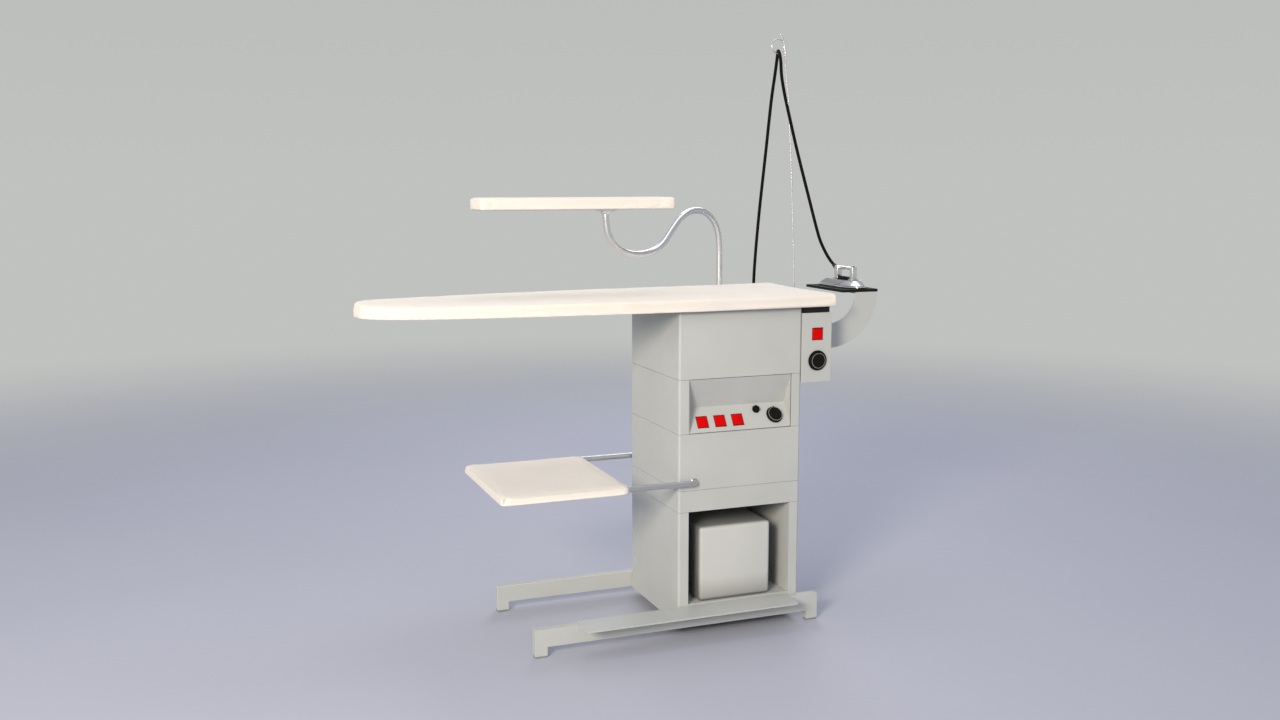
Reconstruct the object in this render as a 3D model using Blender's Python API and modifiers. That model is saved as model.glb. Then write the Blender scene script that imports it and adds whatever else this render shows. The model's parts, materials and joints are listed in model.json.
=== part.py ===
"""Industrial vacuum ironing station with a built-in steam generator and its iron.

World frame: metres, +Z up, floor at z = 0. +X runs along the board from its nose to its square end,
+Y runs to the back. The origin is the centre of the footprint.
"""

import math

import bmesh
import bpy
from mathutils import Matrix, Vector

# ---------------------------------------------------------------- driving dimensions (metres)
GAP = 0.0003                     # clearance between touching pieces
SHEET = 0.0016                   # sheet-metal thickness

CAB_LEFT, CAB_RIGHT = 0.0774, 0.4342
CAB_FRONT, CAB_BACK = -0.165, 0.181
CAB_BOTTOM, CAB_TOP = 0.027, 0.8664
BAY_TOP, BAND_TOP, BOILER_TOP, CONTROL_TOP = 0.3338, 0.392, 0.5436, 0.688
SEAM = 0.0006                    # gap between two casings
STILE = 0.029                    # front stiles beside the tank bay and the control recess
CASING_ROUND, ROUND_STEPS = 0.006, 4

RAIL_LEFT, RAIL_RIGHT = -0.325, 0.4845
RAIL_TOP, RAIL_THICK, FOOT_LENGTH = 0.074, 0.0226, 0.033
PAD_HEIGHT = 0.004
FRONT_RAIL_Y = CAB_FRONT - GAP - RAIL_THICK / 2
REAR_RAIL_Y = CAB_BACK + GAP + RAIL_THICK / 2

PEDAL_LEFT, PEDAL_RIGHT, PEDAL_FRONT, PEDAL_BACK = -0.208, 0.393, -0.2555, -0.1675
PEDAL_BOTTOM, PEDAL_THICK = 0.0744, 0.0035
PEDAL_AXIS_Y, PEDAL_AXIS_Z, PEDAL_ROD_R = -0.1965, 0.0665, 0.0035
PEDAL_LUGS = (-0.12, 0.31)
LUG_HALF = 0.006

BOARD_NOSE, BOARD_END, BOARD_Y, BOARD_HALF = -0.722, 0.530, 0.008, 0.200
BOARD_CORNER = 0.010             # radius of the square end's corners, seen from above
BOARD_STRAIGHT_FROM = 0.25       # the board narrows from here towards its nose
NOSE_TAPER, NOSE_BLUNT = 1.7, 3.3
BOARD_BOTTOM, BOARD_TOP = 0.867, 0.900
BOARD_RIM = 0.0115               # width of the cover's rim round the tray
MESH_TOP = 0.8916

FAN_X, FAN_Y = 0.256, 0.040
FAN_FLOOR, FAN_ROOF, FAN_R, FAN_EYE_R = 0.725, 0.787, 0.112, 0.045
FAN_SHEET = 0.002
IMPELLER_Z, IMPELLER_HEIGHT, HUB_R, BLADE_REACH, BLADE_HALF = 0.748, 0.034, 0.020, 0.095, 0.0015
MOTOR_R, MOTOR_BOTTOM, SHAFT_R = 0.058, 0.623, 0.0055
DUCT_R, DUCT_TOP = 0.0535, 0.872

VENT_LEFT, VENT_RIGHT, VENT_BOTTOM, VENT_TOP = 0.130, 0.330, 0.700, 0.830
VENT_EDGE, VENT_SLOTS, VENT_SLOT_HALF = 0.018, 6, 0.004

BOILER_LEFT, BOILER_AXIS_Y, BOILER_AXIS_Z, BOILER_R = 0.125, 0.045, 0.472, 0.058
PUMP_LEFT, PUMP_Y, PUMP_R = 0.140, 0.135, 0.024
VALVE_X, VALVE_Y = 0.3225, 0.1075

RECESS_LEFT, RECESS_RIGHT = CAB_LEFT + STILE, CAB_RIGHT - STILE
CREASE_Y, CREASE_Z = -0.125, 0.606
SLOPE_START = Vector((0.0, CAB_FRONT + 0.0005, BOILER_TOP + 0.0015))
ROCKER_X = (0.1514, 0.2028, 0.2542)
ROCKER_WIDTH, ROCKER_HEIGHT, ROCKER_DEPTH, ROCKER_PROUD = 0.030, 0.031, 0.014, 0.0025
ROCKER_PIVOT = 0.008             # depth of a rocker's pivot below its panel
ROCKER_ROOM = 0.0013
ROCKER_UP = 0.0295               # up the slope from the panel's lower edge
STEAM_KNOB_X, STEAM_KNOB_UP = 0.3140, 0.0546
THERMOSTAT_X, THERMOSTAT_UP = 0.3646, 0.0351
KNOB_HEIGHT, SHAFT_HOLE_R = 0.009, 0.0035

BOX_LEFT, BOX_RIGHT, BOX_BACK = CAB_RIGHT + 0.0008, 0.5250, 0.115
BOX_BOTTOM, BOX_TOP = 0.6610, 0.8490
BOX_PORT_START, BOX_PORT_EDGE = 0.115, 0.025  # the box's wiring port: from its front, and its frame
BOX_CONTROLS_X, BOX_ROCKER_Z, BOX_DIAL_Z = 0.4820, 0.7916, 0.7196
GLAND_X, GLAND_Z, GLAND_HOLE_R = 0.486, 0.800, 0.0083

REST_LEFT, REST_RIGHT, REST_FRONT, REST_BACK = 0.600, 0.714, -0.092, 0.120
REST_TOP, REST_PLATE = 0.900, 0.003
ARC_THICK = 0.004
ARC_X, ARC_Z, ARC_OUTER, ARC_INNER, ARC_Y = 0.558, 0.8926, 0.153, 0.084, -0.0898

IRON_X, IRON_TIP, IRON_REAR, IRON_HALF = 0.666, -0.083, 0.106, 0.0395
IRON_FLOOR, SOLE_TOP = REST_TOP + GAP, 0.9058
BODY_SHOULDER, BODY_CROWN = 0.010, 0.0055
HANDLE_FRONT, HANDLE_REAR = -0.035, 0.048
FRONT_POST_HALF, REAR_POST_HALF, BAR_HALF, BAR_HEIGHT = 0.0078, 0.0085, 0.007, 0.0085
HANDLE_TOP = 0.958
GUARD_HALF, GUARD_HEIGHT, GUARD_ROOM = 0.0085, 0.0095, 0.0035  # the heat guard under the grip

POST_X, POST_Y, ARM_R = 0.377, 0.240, 0.009
SOCKET_BOTTOM, SOCKET_TOP = 0.716, 0.840
SLEEVE_LEFT, SLEEVE_RIGHT, SLEEVE_Y, SLEEVE_HALF = -0.412, 0.118, 0.008, 0.058
SLEEVE_BOTTOM, SLEEVE_TOP = 1.126, 1.156
SLEEVE_CORNER, TRAY_CORNER = 0.009, 0.020  # radii of their corners, seen from above

TRAY_LEFT, TRAY_RIGHT, TRAY_FRONT, TRAY_BACK = -0.410, -0.065, -0.198, 0.212
TRAY_BOTTOM, TRAY_TOP = 0.4045, 0.4245
TRAY_AXIS_X, TRAY_AXIS_Z, TRAY_TUBE_R = 0.121, 0.4150, 0.0080
TRAY_TUBE_OFFSET, TRAY_BEND = 0.0145, 0.013  # face to the tube's centreline, and its elbow's radius

TANK_LEFT, TANK_RIGHT, TANK_FRONT, TANK_BACK = 0.142, 0.352, -0.158, 0.120
TANK_BOTTOM, TANK_TOP = 0.0815, 0.286
TANK_ROUND, TANK_WALL = 0.010, 0.004
CAP_X, CAP_Y = 0.2445, 0.060

POLE_FOOT_X, POLE_Y, POLE_R = 0.5465, 0.090, 0.002
RING_X, RING_Z, RING_R, RING_WIRE_R = 0.4822, 1.571, 0.0195, 0.0015
HOSE_R = 0.0045

# Points of the hose's route, from its gland on the control box, over the ring, to the iron's handle.
HOSE_ROUTE = [
    (0.4860, 0.1458, 0.8000), (0.4860, 0.1650, 0.8000), (0.4838, 0.1918, 0.8092),
    (0.4836, 0.2158, 0.8369), (0.4850, 0.2290, 0.8800), (0.4868, 0.2270, 0.9600),
    (0.4926, 0.2150, 1.1030), (0.4982, 0.1890, 1.2790), (0.4992, 0.1610, 1.4230),
    (0.4994, 0.1414, 1.4942), (0.4988, 0.1300, 1.5322), (0.4920, 0.1119, 1.5526),
    (0.4822, 0.0900, 1.5588), (0.4743, 0.0675, 1.5510), (0.4698, 0.0498, 1.5290),
    (0.4698, 0.0432, 1.4879), (0.4805, 0.0472, 1.4447), (0.4947, 0.0510, 1.3980),
    (0.5312, 0.0600, 1.2850), (0.5779, 0.0740, 1.1570), (0.6152, 0.0879, 1.0615),
    (0.6315, 0.0926, 1.0245), (0.6489, 0.0920, 0.9921), (0.6577, 0.0830, 0.9727),
    (0.66197, 0.06889, 0.95983),
]
HANDLE_GLAND_START = Vector((0.6660, 0.0568, 0.9500))
HANDLE_GLAND_DIRECTION = Vector((-0.25, 0.75, 0.61)).normalized()
HANDLE_GLAND_LENGTH, HANDLE_GLAND_ROOT = 0.0158, -0.006

UPRIGHT = (math.pi / 2, 0, 0)    # turns a flat outline in X and Y to stand in X and Z

# ---------------------------------------------------------------- scene, collections, materials
for old in list(bpy.data.objects):
    bpy.data.objects.remove(old, do_unlink=True)

PARTS = bpy.data.collections.new("ironing_station")
CUTTERS = bpy.data.collections.new("cutters")
for group in (PARTS, CUTTERS):
    bpy.context.scene.collection.children.link(group)
CUTTERS.hide_render = True


def finish_of(name, colour, roughness, metallic=0.0):
    """A Principled material."""
    material = bpy.data.materials.new(name)
    material.use_nodes = True
    shader = material.node_tree.nodes["Principled BSDF"]
    shader.inputs["Base Color"].default_value = (*colour, 1.0)
    shader.inputs["Roughness"].default_value = roughness
    shader.inputs["Metallic"].default_value = metallic
    return material


FINISHES = {
    "paint": ((0.53, 0.53, 0.50), 0.45, 0.0),
    "cream": ((0.85, 0.80, 0.72), 0.80, 0.0),
    "red": ((0.80, 0.01, 0.01), 0.35, 0.0),
    "black": ((0.01, 0.01, 0.01), 0.40, 0.0),
    "rubber": ((0.03, 0.03, 0.03), 0.80, 0.0),
    "grey_rubber": ((0.25, 0.25, 0.24), 0.80, 0.0),
    "steel": ((0.56, 0.57, 0.58), 0.32, 1.0),
    "polished": ((0.75, 0.75, 0.74), 0.15, 1.0),
    "brass": ((0.72, 0.50, 0.20), 0.35, 1.0),
    "white": ((0.80, 0.80, 0.78), 0.40, 0.0),
    "motor": ((0.10, 0.13, 0.18), 0.50, 0.0),
}


# ---------------------------------------------------------------- modelling helpers
def add(name, data, finish, at=(0, 0, 0)):
    """Links an object to the parts, or to the cutters where finish is None."""
    obj = bpy.data.objects.new(name, data)
    obj.location = at
    if finish is None:
        CUTTERS.objects.link(obj)
        obj.hide_render = True
        obj.display_type = "WIRE"
        return obj
    PARTS.objects.link(obj)
    material = finish_of(name + "_finish", *FINISHES[finish])
    data.materials.append(material)
    return obj


def from_bmesh(name, bm, finish, at=(0, 0, 0)):
    bmesh.ops.recalc_face_normals(bm, faces=bm.faces)
    mesh = bpy.data.meshes.new(name)
    bm.to_mesh(mesh)
    bm.free()
    return add(name, mesh, finish, at)


def cube_bmesh(low, high, at):
    """A box between two corners, about the point at."""
    low, high, at = Vector(low), Vector(high), Vector(at)
    bm = bmesh.new()
    bmesh.ops.create_cube(bm, size=1.0)
    bmesh.ops.scale(bm, vec=high - low, verts=bm.verts)
    bmesh.ops.translate(bm, vec=(low + high) / 2 - at, verts=bm.verts)
    return bm


def box(name, low, high, finish, at=(0, 0, 0), edge=0.0, segments=1):
    """A box whose edges are all bevelled by edge."""
    bm = cube_bmesh(low, high, at)
    if edge:
        bmesh.ops.bevel(bm, geom=bm.edges[:], offset=edge, segments=segments, affect="EDGES", profile=0.5)
    return from_bmesh(name, bm, finish, at)


def upright_edges(bm):
    return [e for e in bm.edges if abs(e.verts[0].co.z - e.verts[1].co.z) > 1e-6]


def casing(name, low, high, open_sides, finish="paint", corner=CASING_ROUND, wall=SHEET):
    """A sheet-metal box with rounded upright corners. open_sides are directions such as (0, 0, 1)."""
    bm = cube_bmesh(low, high, (0, 0, 0))
    if corner:
        edges = upright_edges(bm)
        bmesh.ops.bevel(bm, geom=edges, offset=corner, segments=ROUND_STEPS, affect="EDGES", profile=0.5)
    bmesh.ops.recalc_face_normals(bm, faces=bm.faces)
    gone = [f for f in bm.faces if any(f.normal.dot(Vector(side)) > 0.99 for side in open_sides)]
    bmesh.ops.delete(bm, geom=gone, context="FACES")
    mesh = bpy.data.meshes.new(name)
    bm.to_mesh(mesh)
    bm.free()
    obj = add(name, mesh, finish)
    thicken(obj, wall, -1.0)
    return obj


def thicken(obj, wall, offset):
    solid = obj.modifiers.new("Sheet", "SOLIDIFY")
    solid.thickness = wall
    solid.offset = offset
    solid.use_even_offset = True


def rod(name, start, end, radius, finish, sides=20, at=None):
    """A cylinder from start to end."""
    start, end = Vector(start), Vector(end)
    at = start if at is None else Vector(at)
    axis = end - start
    bm = bmesh.new()
    bmesh.ops.create_cone(
        bm, cap_ends=True, segments=sides, radius1=radius, radius2=radius, depth=axis.length,
    )
    turn = axis.to_track_quat("Z", "Y").to_matrix().to_4x4()
    bmesh.ops.transform(bm, matrix=Matrix.Translation((start + end) / 2 - at) @ turn, verts=bm.verts)
    return from_bmesh(name, bm, finish, at)


def turned(name, profile, finish, at, steps=24, turn=(0, 0, 0)):
    """A lathe shape about its own Z. The profile (radius, height) runs down its outer side."""
    mesh = bpy.data.meshes.new(name)
    points = [(radius, 0.0, height) for radius, height in profile]
    mesh.from_pydata(points, [(i, i + 1) for i in range(len(points) - 1)], [])
    obj = add(name, mesh, finish, at)
    obj.rotation_euler = turn
    screw = obj.modifiers.new("Lathe", "SCREW")
    screw.steps = screw.render_steps = steps
    screw.use_merge_vertices = True
    screw.merge_threshold = 0.00005
    return obj


def plate(name, loops, thickness, finish, at, turn=(0, 0, 0)):
    """A flat outline with holes, thickness centred on at. Its points are in the plate's own X and Y."""
    curve = bpy.data.curves.new(name, "CURVE")
    curve.dimensions = "2D"
    curve.fill_mode = "BOTH"
    curve.extrude = thickness / 2
    for loop in loops:
        spline = curve.splines.new("POLY")
        spline.points.add(len(loop) - 1)
        for point, (x, y) in zip(spline.points, loop):
            point.co = (x, y, 0.0, 1.0)
        spline.use_cyclic_u = True
    obj = add(name, curve, finish, at)
    obj.rotation_euler = turn
    return as_mesh(obj)


def tube(name, points, radius, finish, at=(0, 0, 0), resolution=2):
    """A round bar along points."""
    curve = bpy.data.curves.new(name, "CURVE")
    curve.dimensions = "3D"
    curve.bevel_depth = radius
    curve.bevel_resolution = resolution
    curve.use_fill_caps = True
    spline = curve.splines.new("POLY")
    spline.points.add(len(points) - 1)
    for point, place in zip(spline.points, points):
        point.co = (*(Vector(place) - Vector(at)), 1.0)
    return add(name, curve, finish, at)


def as_mesh(curve_object):
    """The same object with its curve turned into a closed mesh."""
    bpy.context.view_layer.update()
    graph = bpy.context.evaluated_depsgraph_get()
    mesh = bpy.data.meshes.new_from_object(curve_object.evaluated_get(graph))
    bm = bmesh.new()
    bm.from_mesh(mesh)
    bmesh.ops.remove_doubles(bm, verts=bm.verts, dist=0.00001)
    bmesh.ops.recalc_face_normals(bm, faces=bm.faces)
    bm.to_mesh(mesh)
    bm.free()
    name, group = curve_object.name, curve_object.users_collection[0]
    place, hidden = curve_object.matrix_world.copy(), curve_object.hide_render
    bpy.data.objects.remove(curve_object, do_unlink=True)
    obj = bpy.data.objects.new(name, mesh)
    obj.matrix_world = place
    obj.hide_render = hidden
    obj.display_type = "WIRE" if hidden else "TEXTURED"
    group.objects.link(obj)
    return obj


def combine(obj, others, operation):
    for other in others:
        boolean = obj.modifiers.new(operation.title(), "BOOLEAN")
        boolean.operation = operation
        boolean.solver = "EXACT"
        boolean.object = other
    return obj


def cut(obj, *others):
    return combine(obj, others, "DIFFERENCE")


def join(obj, *others):
    return combine(obj, others, "UNION")


def arc(cx, cy, radius, start, end, count):
    """Points of an arc, angles in degrees."""
    angles = (math.radians(start + (end - start) * i / count) for i in range(count + 1))
    return [(cx + radius * math.cos(a), cy + radius * math.sin(a)) for a in angles]


def circle(cx, cy, radius, count=24):
    return arc(cx, cy, radius, 0, 360, count)[:-1]


def rounded(left, right, front, back, radius, count=4):
    """A rectangle with round corners."""
    corners = ((right, back, 0), (left, back, 90), (left, front, 180), (right, front, 270))
    points = []
    for x, y, start in corners:
        cx = x - radius if x == right else x + radius
        cy = y - radius if y == back else y + radius
        points += arc(cx, cy, radius, start, start + 90, count)
    return points


def smooth(points, spacing):
    """A Catmull-Rom curve through points, sampled about every spacing."""
    knots = [Vector(p) for p in points]
    ends = [2 * knots[0] - knots[1], *knots, 2 * knots[-1] - knots[-2]]
    line = []
    for a, b, c, d in zip(ends, ends[1:], ends[2:], ends[3:]):
        steps = max(1, round((c - b).length / spacing))
        square, cube = 2 * a - 5 * b + 4 * c - d, 3 * b - a - 3 * c + d
        for i in range(steps):
            t = i / steps
            line.append(0.5 * (2 * b + (c - a) * t + square * t**2 + cube * t**3))
    return [*line, knots[-1]]


# ---------------------------------------------------------------- frame, rails and pedal
def rail(name, y, pads):
    """A rail along X with a foot turned down at each end."""
    foot = PAD_HEIGHT + GAP
    outline = [
        (RAIL_LEFT, RAIL_TOP), (RAIL_LEFT, foot), (RAIL_LEFT + FOOT_LENGTH, foot),
        (RAIL_LEFT + FOOT_LENGTH, CAB_BOTTOM), (RAIL_RIGHT - FOOT_LENGTH, CAB_BOTTOM),
        (RAIL_RIGHT - FOOT_LENGTH, foot), (RAIL_RIGHT, foot), (RAIL_RIGHT, RAIL_TOP),
    ]
    obj = plate(name, [outline], RAIL_THICK, "paint", (0, y, 0), UPRIGHT)
    for pad, left in zip(pads, (RAIL_LEFT, RAIL_RIGHT - FOOT_LENGTH)):
        low = (left + 0.001, y - RAIL_THICK / 2 + 0.001, 0)
        high = (left + FOOT_LENGTH - 0.001, y + RAIL_THICK / 2 - 0.001, PAD_HEIGHT)
        box(pad, low, high, "grey_rubber")
    return obj


def build_frame():
    front = rail("front_rail", FRONT_RAIL_Y, ("floor_pad_front_left", "floor_pad_front_right"))
    rail("rear_rail", REAR_RAIL_Y, ("floor_pad_rear_left", "floor_pad_rear_right"))
    lugs, bores = [], []
    for i, x in enumerate(PEDAL_LUGS):
        low = (x - LUG_HALF, PEDAL_AXIS_Y - 0.006, PEDAL_AXIS_Z - 0.0065)
        high = (x + LUG_HALF, CAB_FRONT - 0.010, PEDAL_AXIS_Z + 0.0065)
        lugs.append(box(f"lug_{i}", low, high, None))
        bores.append(pedal_bore(f"lug_bore_{i}", x - 0.02, x + 0.02))
    join(front, *lugs)
    cut(front, *bores)


def pedal_bore(name, left, right):
    ends = ((left, PEDAL_AXIS_Y, PEDAL_AXIS_Z), (right, PEDAL_AXIS_Y, PEDAL_AXIS_Z))
    return rod(name, *ends, PEDAL_ROD_R + GAP, None, sides=12)


def build_pedal():
    axis = Vector((0, PEDAL_AXIS_Y, PEDAL_AXIS_Z))
    outline = rounded(PEDAL_LEFT, PEDAL_RIGHT, PEDAL_FRONT, PEDAL_BACK, 0.008, 2)
    centre_z = PEDAL_BOTTOM + PEDAL_THICK / 2
    shifted = [(x, y - axis.y) for x, y in outline]
    pedal = plate("foot_pedal", [shifted], PEDAL_THICK, "paint", (0, axis.y, centre_z))
    # The plate's origin moves onto its pivot line.
    pedal.data.transform(Matrix.Translation((0, 0, centre_z - axis.z)))
    pedal.location = axis
    ears, bores = [], []
    for i, x in enumerate(PEDAL_LUGS):
        for j, side in enumerate((-1, 1)):
            inner, outer = sorted((x + side * (LUG_HALF + 0.0006), x + side * (LUG_HALF + 0.0036)))
            low = (inner, PEDAL_AXIS_Y - 0.0065, PEDAL_AXIS_Z - 0.0062)
            high = (outer, PEDAL_AXIS_Y + 0.0065, PEDAL_BOTTOM + 0.001)
            ears.append(box(f"ear_{i}{j}", low, high, None))
        bores.append(pedal_bore(f"ear_bore_{i}", x - 0.02, x + 0.02))
    join(pedal, *ears)
    cut(pedal, *bores)
    first, last = PEDAL_LUGS[0] - 0.012, PEDAL_LUGS[1] + 0.012
    rod("pedal_pivot_rod", (first, axis.y, axis.z), (last, axis.y, axis.z), PEDAL_ROD_R, "steel", 12)
    turns, pitch, around, radius = 4, 0.0032, 10, PEDAL_ROD_R + 0.0018
    middle = (first + last) / 2
    coil = [
        (
            middle + pitch * i / around,
            axis.y + radius * math.cos(2 * math.pi * i / around),
            axis.z + radius * math.sin(2 * math.pi * i / around),
        )
        for i in range(turns * around + 1)
    ]
    tube("pedal_return_spring", coil, 0.0007, "steel", resolution=1)


# ---------------------------------------------------------------- cabinet
def shell(name, bottom, top, open_sides=((0, 0, 1), (0, 0, -1))):
    low = (CAB_LEFT, CAB_FRONT, bottom)
    return casing(name, low, (CAB_RIGHT, CAB_BACK, top - SEAM), open_sides)


def bay_outline(left, right, back):
    """The tank bay's folded sheet, seen from above: a C with hollow side walls."""
    r = CASING_ROUND
    front, inner = CAB_FRONT, CAB_BACK - SHEET
    outer = [(left, front), (left, inner), (right, inner), (right, front)]
    outer += arc(CAB_RIGHT - r, front + r, r, -90, 0, ROUND_STEPS)
    outer += arc(CAB_RIGHT - r, back - r, r, 0, 90, ROUND_STEPS)
    outer += arc(CAB_LEFT + r, back - r, r, 90, 180, ROUND_STEPS)
    outer += arc(CAB_LEFT + r, front + r, r, 180, 270, ROUND_STEPS)
    return outer


def build_cabinet():
    bay_height = BAY_TOP - SEAM - CAB_BOTTOM
    hollow_front, hollow_back = CAB_FRONT + SHEET, CAB_BACK - SHEET
    left_hollow = [
        (CAB_LEFT + SHEET, hollow_front + 0.004), (CAB_LEFT + SHEET + 0.004, hollow_front),
        (RECESS_LEFT - SHEET, hollow_front), (RECESS_LEFT - SHEET, hollow_back),
        (CAB_LEFT + SHEET + 0.004, hollow_back), (CAB_LEFT + SHEET, hollow_back - 0.004),
    ]
    right_hollow = [(CAB_LEFT + CAB_RIGHT - x, y) for x, y in left_hollow]
    loops = [bay_outline(RECESS_LEFT, RECESS_RIGHT, CAB_BACK), left_hollow, right_hollow]
    plate("tank_bay_shell", loops, bay_height, "paint", (0, 0, CAB_BOTTOM + bay_height / 2))
    low = (RECESS_LEFT + GAP, CAB_FRONT + 0.001, CAB_BOTTOM + 0.001)
    high = (RECESS_RIGHT - GAP, CAB_BACK - SHEET - GAP, TANK_BOTTOM - GAP)
    casing("base_plate", low, high, [(0, 0, -1)], corner=0.0)

    shell("band_shell", BAY_TOP, BAND_TOP, [(0, 0, 1)])
    boiler = shell("boiler_section_shell", BAND_TOP, BOILER_TOP)
    start = (TRAY_AXIS_X, CAB_FRONT - 0.02, TRAY_AXIS_Z)
    end = (TRAY_AXIS_X, CAB_BACK + 0.02, TRAY_AXIS_Z)
    cut(boiler, rod("tray_pivot_bore", start, end, TRAY_TUBE_R + GAP, None))
    control = shell("control_section_shell", BOILER_TOP, CONTROL_TOP)
    low = (RECESS_LEFT, CAB_FRONT - 0.02, BOILER_TOP - 0.01)
    high = (RECESS_RIGHT, CAB_FRONT + 0.02, CONTROL_TOP + 0.01)
    cut(control, box("recess_opening", low, high, None))
    top = shell("top_section_shell", CONTROL_TOP, CAB_TOP + SEAM)
    low = (VENT_LEFT + VENT_EDGE, CAB_BACK - 0.02, VENT_BOTTOM + VENT_EDGE)
    high = (VENT_RIGHT - VENT_EDGE, CAB_BACK + 0.02, VENT_TOP - VENT_EDGE)
    cut(top, box("exhaust_opening", low, high, None))
    build_rear_cover()


def build_rear_cover():
    """A slotted plate over the fan's exhaust opening."""
    loops = [rounded(VENT_LEFT, VENT_RIGHT, VENT_BOTTOM, VENT_TOP, 0.006, 2)]
    first, last = VENT_BOTTOM + 0.025, VENT_TOP - 0.025
    for i in range(VENT_SLOTS):
        z = first + i * (last - first) / (VENT_SLOTS - 1)
        left, right = VENT_LEFT + 0.025, VENT_RIGHT - 0.025
        low, high = z - VENT_SLOT_HALF, z + VENT_SLOT_HALF
        loops.append(rounded(left, right, low, high, VENT_SLOT_HALF - 0.0001, 2))
    at = (0, CAB_BACK + GAP + SHEET / 2, 0)
    plate("rear_service_cover", loops, SHEET, "paint", at, UPRIGHT)


# ---------------------------------------------------------------- control panel
SLOPE_RUN = Vector((0.0, CREASE_Y - SLOPE_START.y, CREASE_Z - SLOPE_START.z))
SLOPE_UP = SLOPE_RUN.normalized()
SLOPE_OUT = Vector((0.0, -SLOPE_UP.z, SLOPE_UP.y))
SLOPE_ANGLE = math.atan2(SLOPE_UP.z, SLOPE_UP.y)


def on_slope(x, up, out=0.0):
    """A point of the sloped panel, up from its lower edge and out from its face."""
    return SLOPE_START + Vector((x, 0, 0)) + SLOPE_UP * up + SLOPE_OUT * out


def build_control_panel():
    """A sheet folded to a V, with its two end cheeks."""
    left, right = RECESS_LEFT + GAP + SHEET, RECESS_RIGHT - GAP - SHEET
    bm = bmesh.new()
    top = CONTROL_TOP - SHEET - 0.001
    section = ((SLOPE_START.y, SLOPE_START.z), (CREASE_Y, CREASE_Z), (SLOPE_START.y, top))
    cheek = bm.faces.new([bm.verts.new((left, y, z)) for y, z in section])
    swept = bmesh.ops.extrude_face_region(bm, geom=[cheek])
    moved = [v for v in swept["geom"] if isinstance(v, bmesh.types.BMVert)]
    bmesh.ops.translate(bm, vec=(right - left, 0, 0), verts=moved)
    bmesh.ops.recalc_face_normals(bm, faces=bm.faces)
    front = [f for f in bm.faces if f.normal.y < -0.99]
    bmesh.ops.delete(bm, geom=front, context="FACES")
    mesh = bpy.data.meshes.new("control_panel")
    bm.to_mesh(mesh)
    bm.free()
    panel = add("control_panel", mesh, "paint")
    thicken(panel, SHEET, 1.0)
    holes = []
    for i, x in enumerate(ROCKER_X):
        holes.append(slope_box(f"rocker_hole_{i}", x, ROCKER_ROOM, 0.010, None))
    for name, x, up in (
        ("steam_hole", STEAM_KNOB_X, STEAM_KNOB_UP), ("thermostat_hole", THERMOSTAT_X, THERMOSTAT_UP),
    ):
        holes.append(rod(name, on_slope(x, up, -0.01), on_slope(x, up, 0.01), SHAFT_HOLE_R, None, 12))
    cut(panel, *holes)


def slope_box(name, x, room, half_depth, finish):
    """A rocker-sized box on the sloped panel, bigger by room on each side."""
    half = Vector((ROCKER_WIDTH / 2 + room, ROCKER_HEIGHT / 2 + room, half_depth))
    obj = box(name, -half, half, finish)
    obj.location = on_slope(x, ROCKER_UP)
    obj.rotation_euler = (SLOPE_ANGLE, 0, 0)
    return obj


def rocker(name, at, turn):
    """A rocker about its pivot. Its own Z points out of the panel."""
    half = Vector((ROCKER_WIDTH / 2, ROCKER_HEIGHT / 2, 0))
    low = -half + Vector((0, 0, ROCKER_PIVOT + ROCKER_PROUD - ROCKER_DEPTH))
    obj = box(name, low, half + Vector((0, 0, ROCKER_PIVOT + ROCKER_PROUD)), "red", edge=0.0012)
    obj.location = at
    obj.rotation_euler = turn


def knob(name, at, turn, radius, height, shaft=0.0032):
    """A knob whose skirt stands 0.6 mm off its panel, on a shaft that goes 14 mm through it."""
    profile = [
        (0.0, height), (radius * 0.80, height), (radius * 0.88, height - 0.0015),
        (radius, 0.004), (radius, 0.0006), (shaft, 0.0006), (shaft, -0.014), (0.0, -0.014),
    ]
    turned(name, profile, "black", at, 24, turn)


def build_controls():
    slope_turn = (SLOPE_ANGLE, 0, 0)
    for name, x in zip(("vacuum_rocker", "boiler_rocker", "pump_rocker"), ROCKER_X):
        rocker(name, on_slope(x, ROCKER_UP, -ROCKER_PIVOT), slope_turn)
    knob("steam_knob", on_slope(STEAM_KNOB_X, STEAM_KNOB_UP), slope_turn, 0.0105, KNOB_HEIGHT)
    knob("thermostat_knob", on_slope(THERMOSTAT_X, THERMOSTAT_UP), slope_turn, 0.0232, KNOB_HEIGHT)


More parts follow.
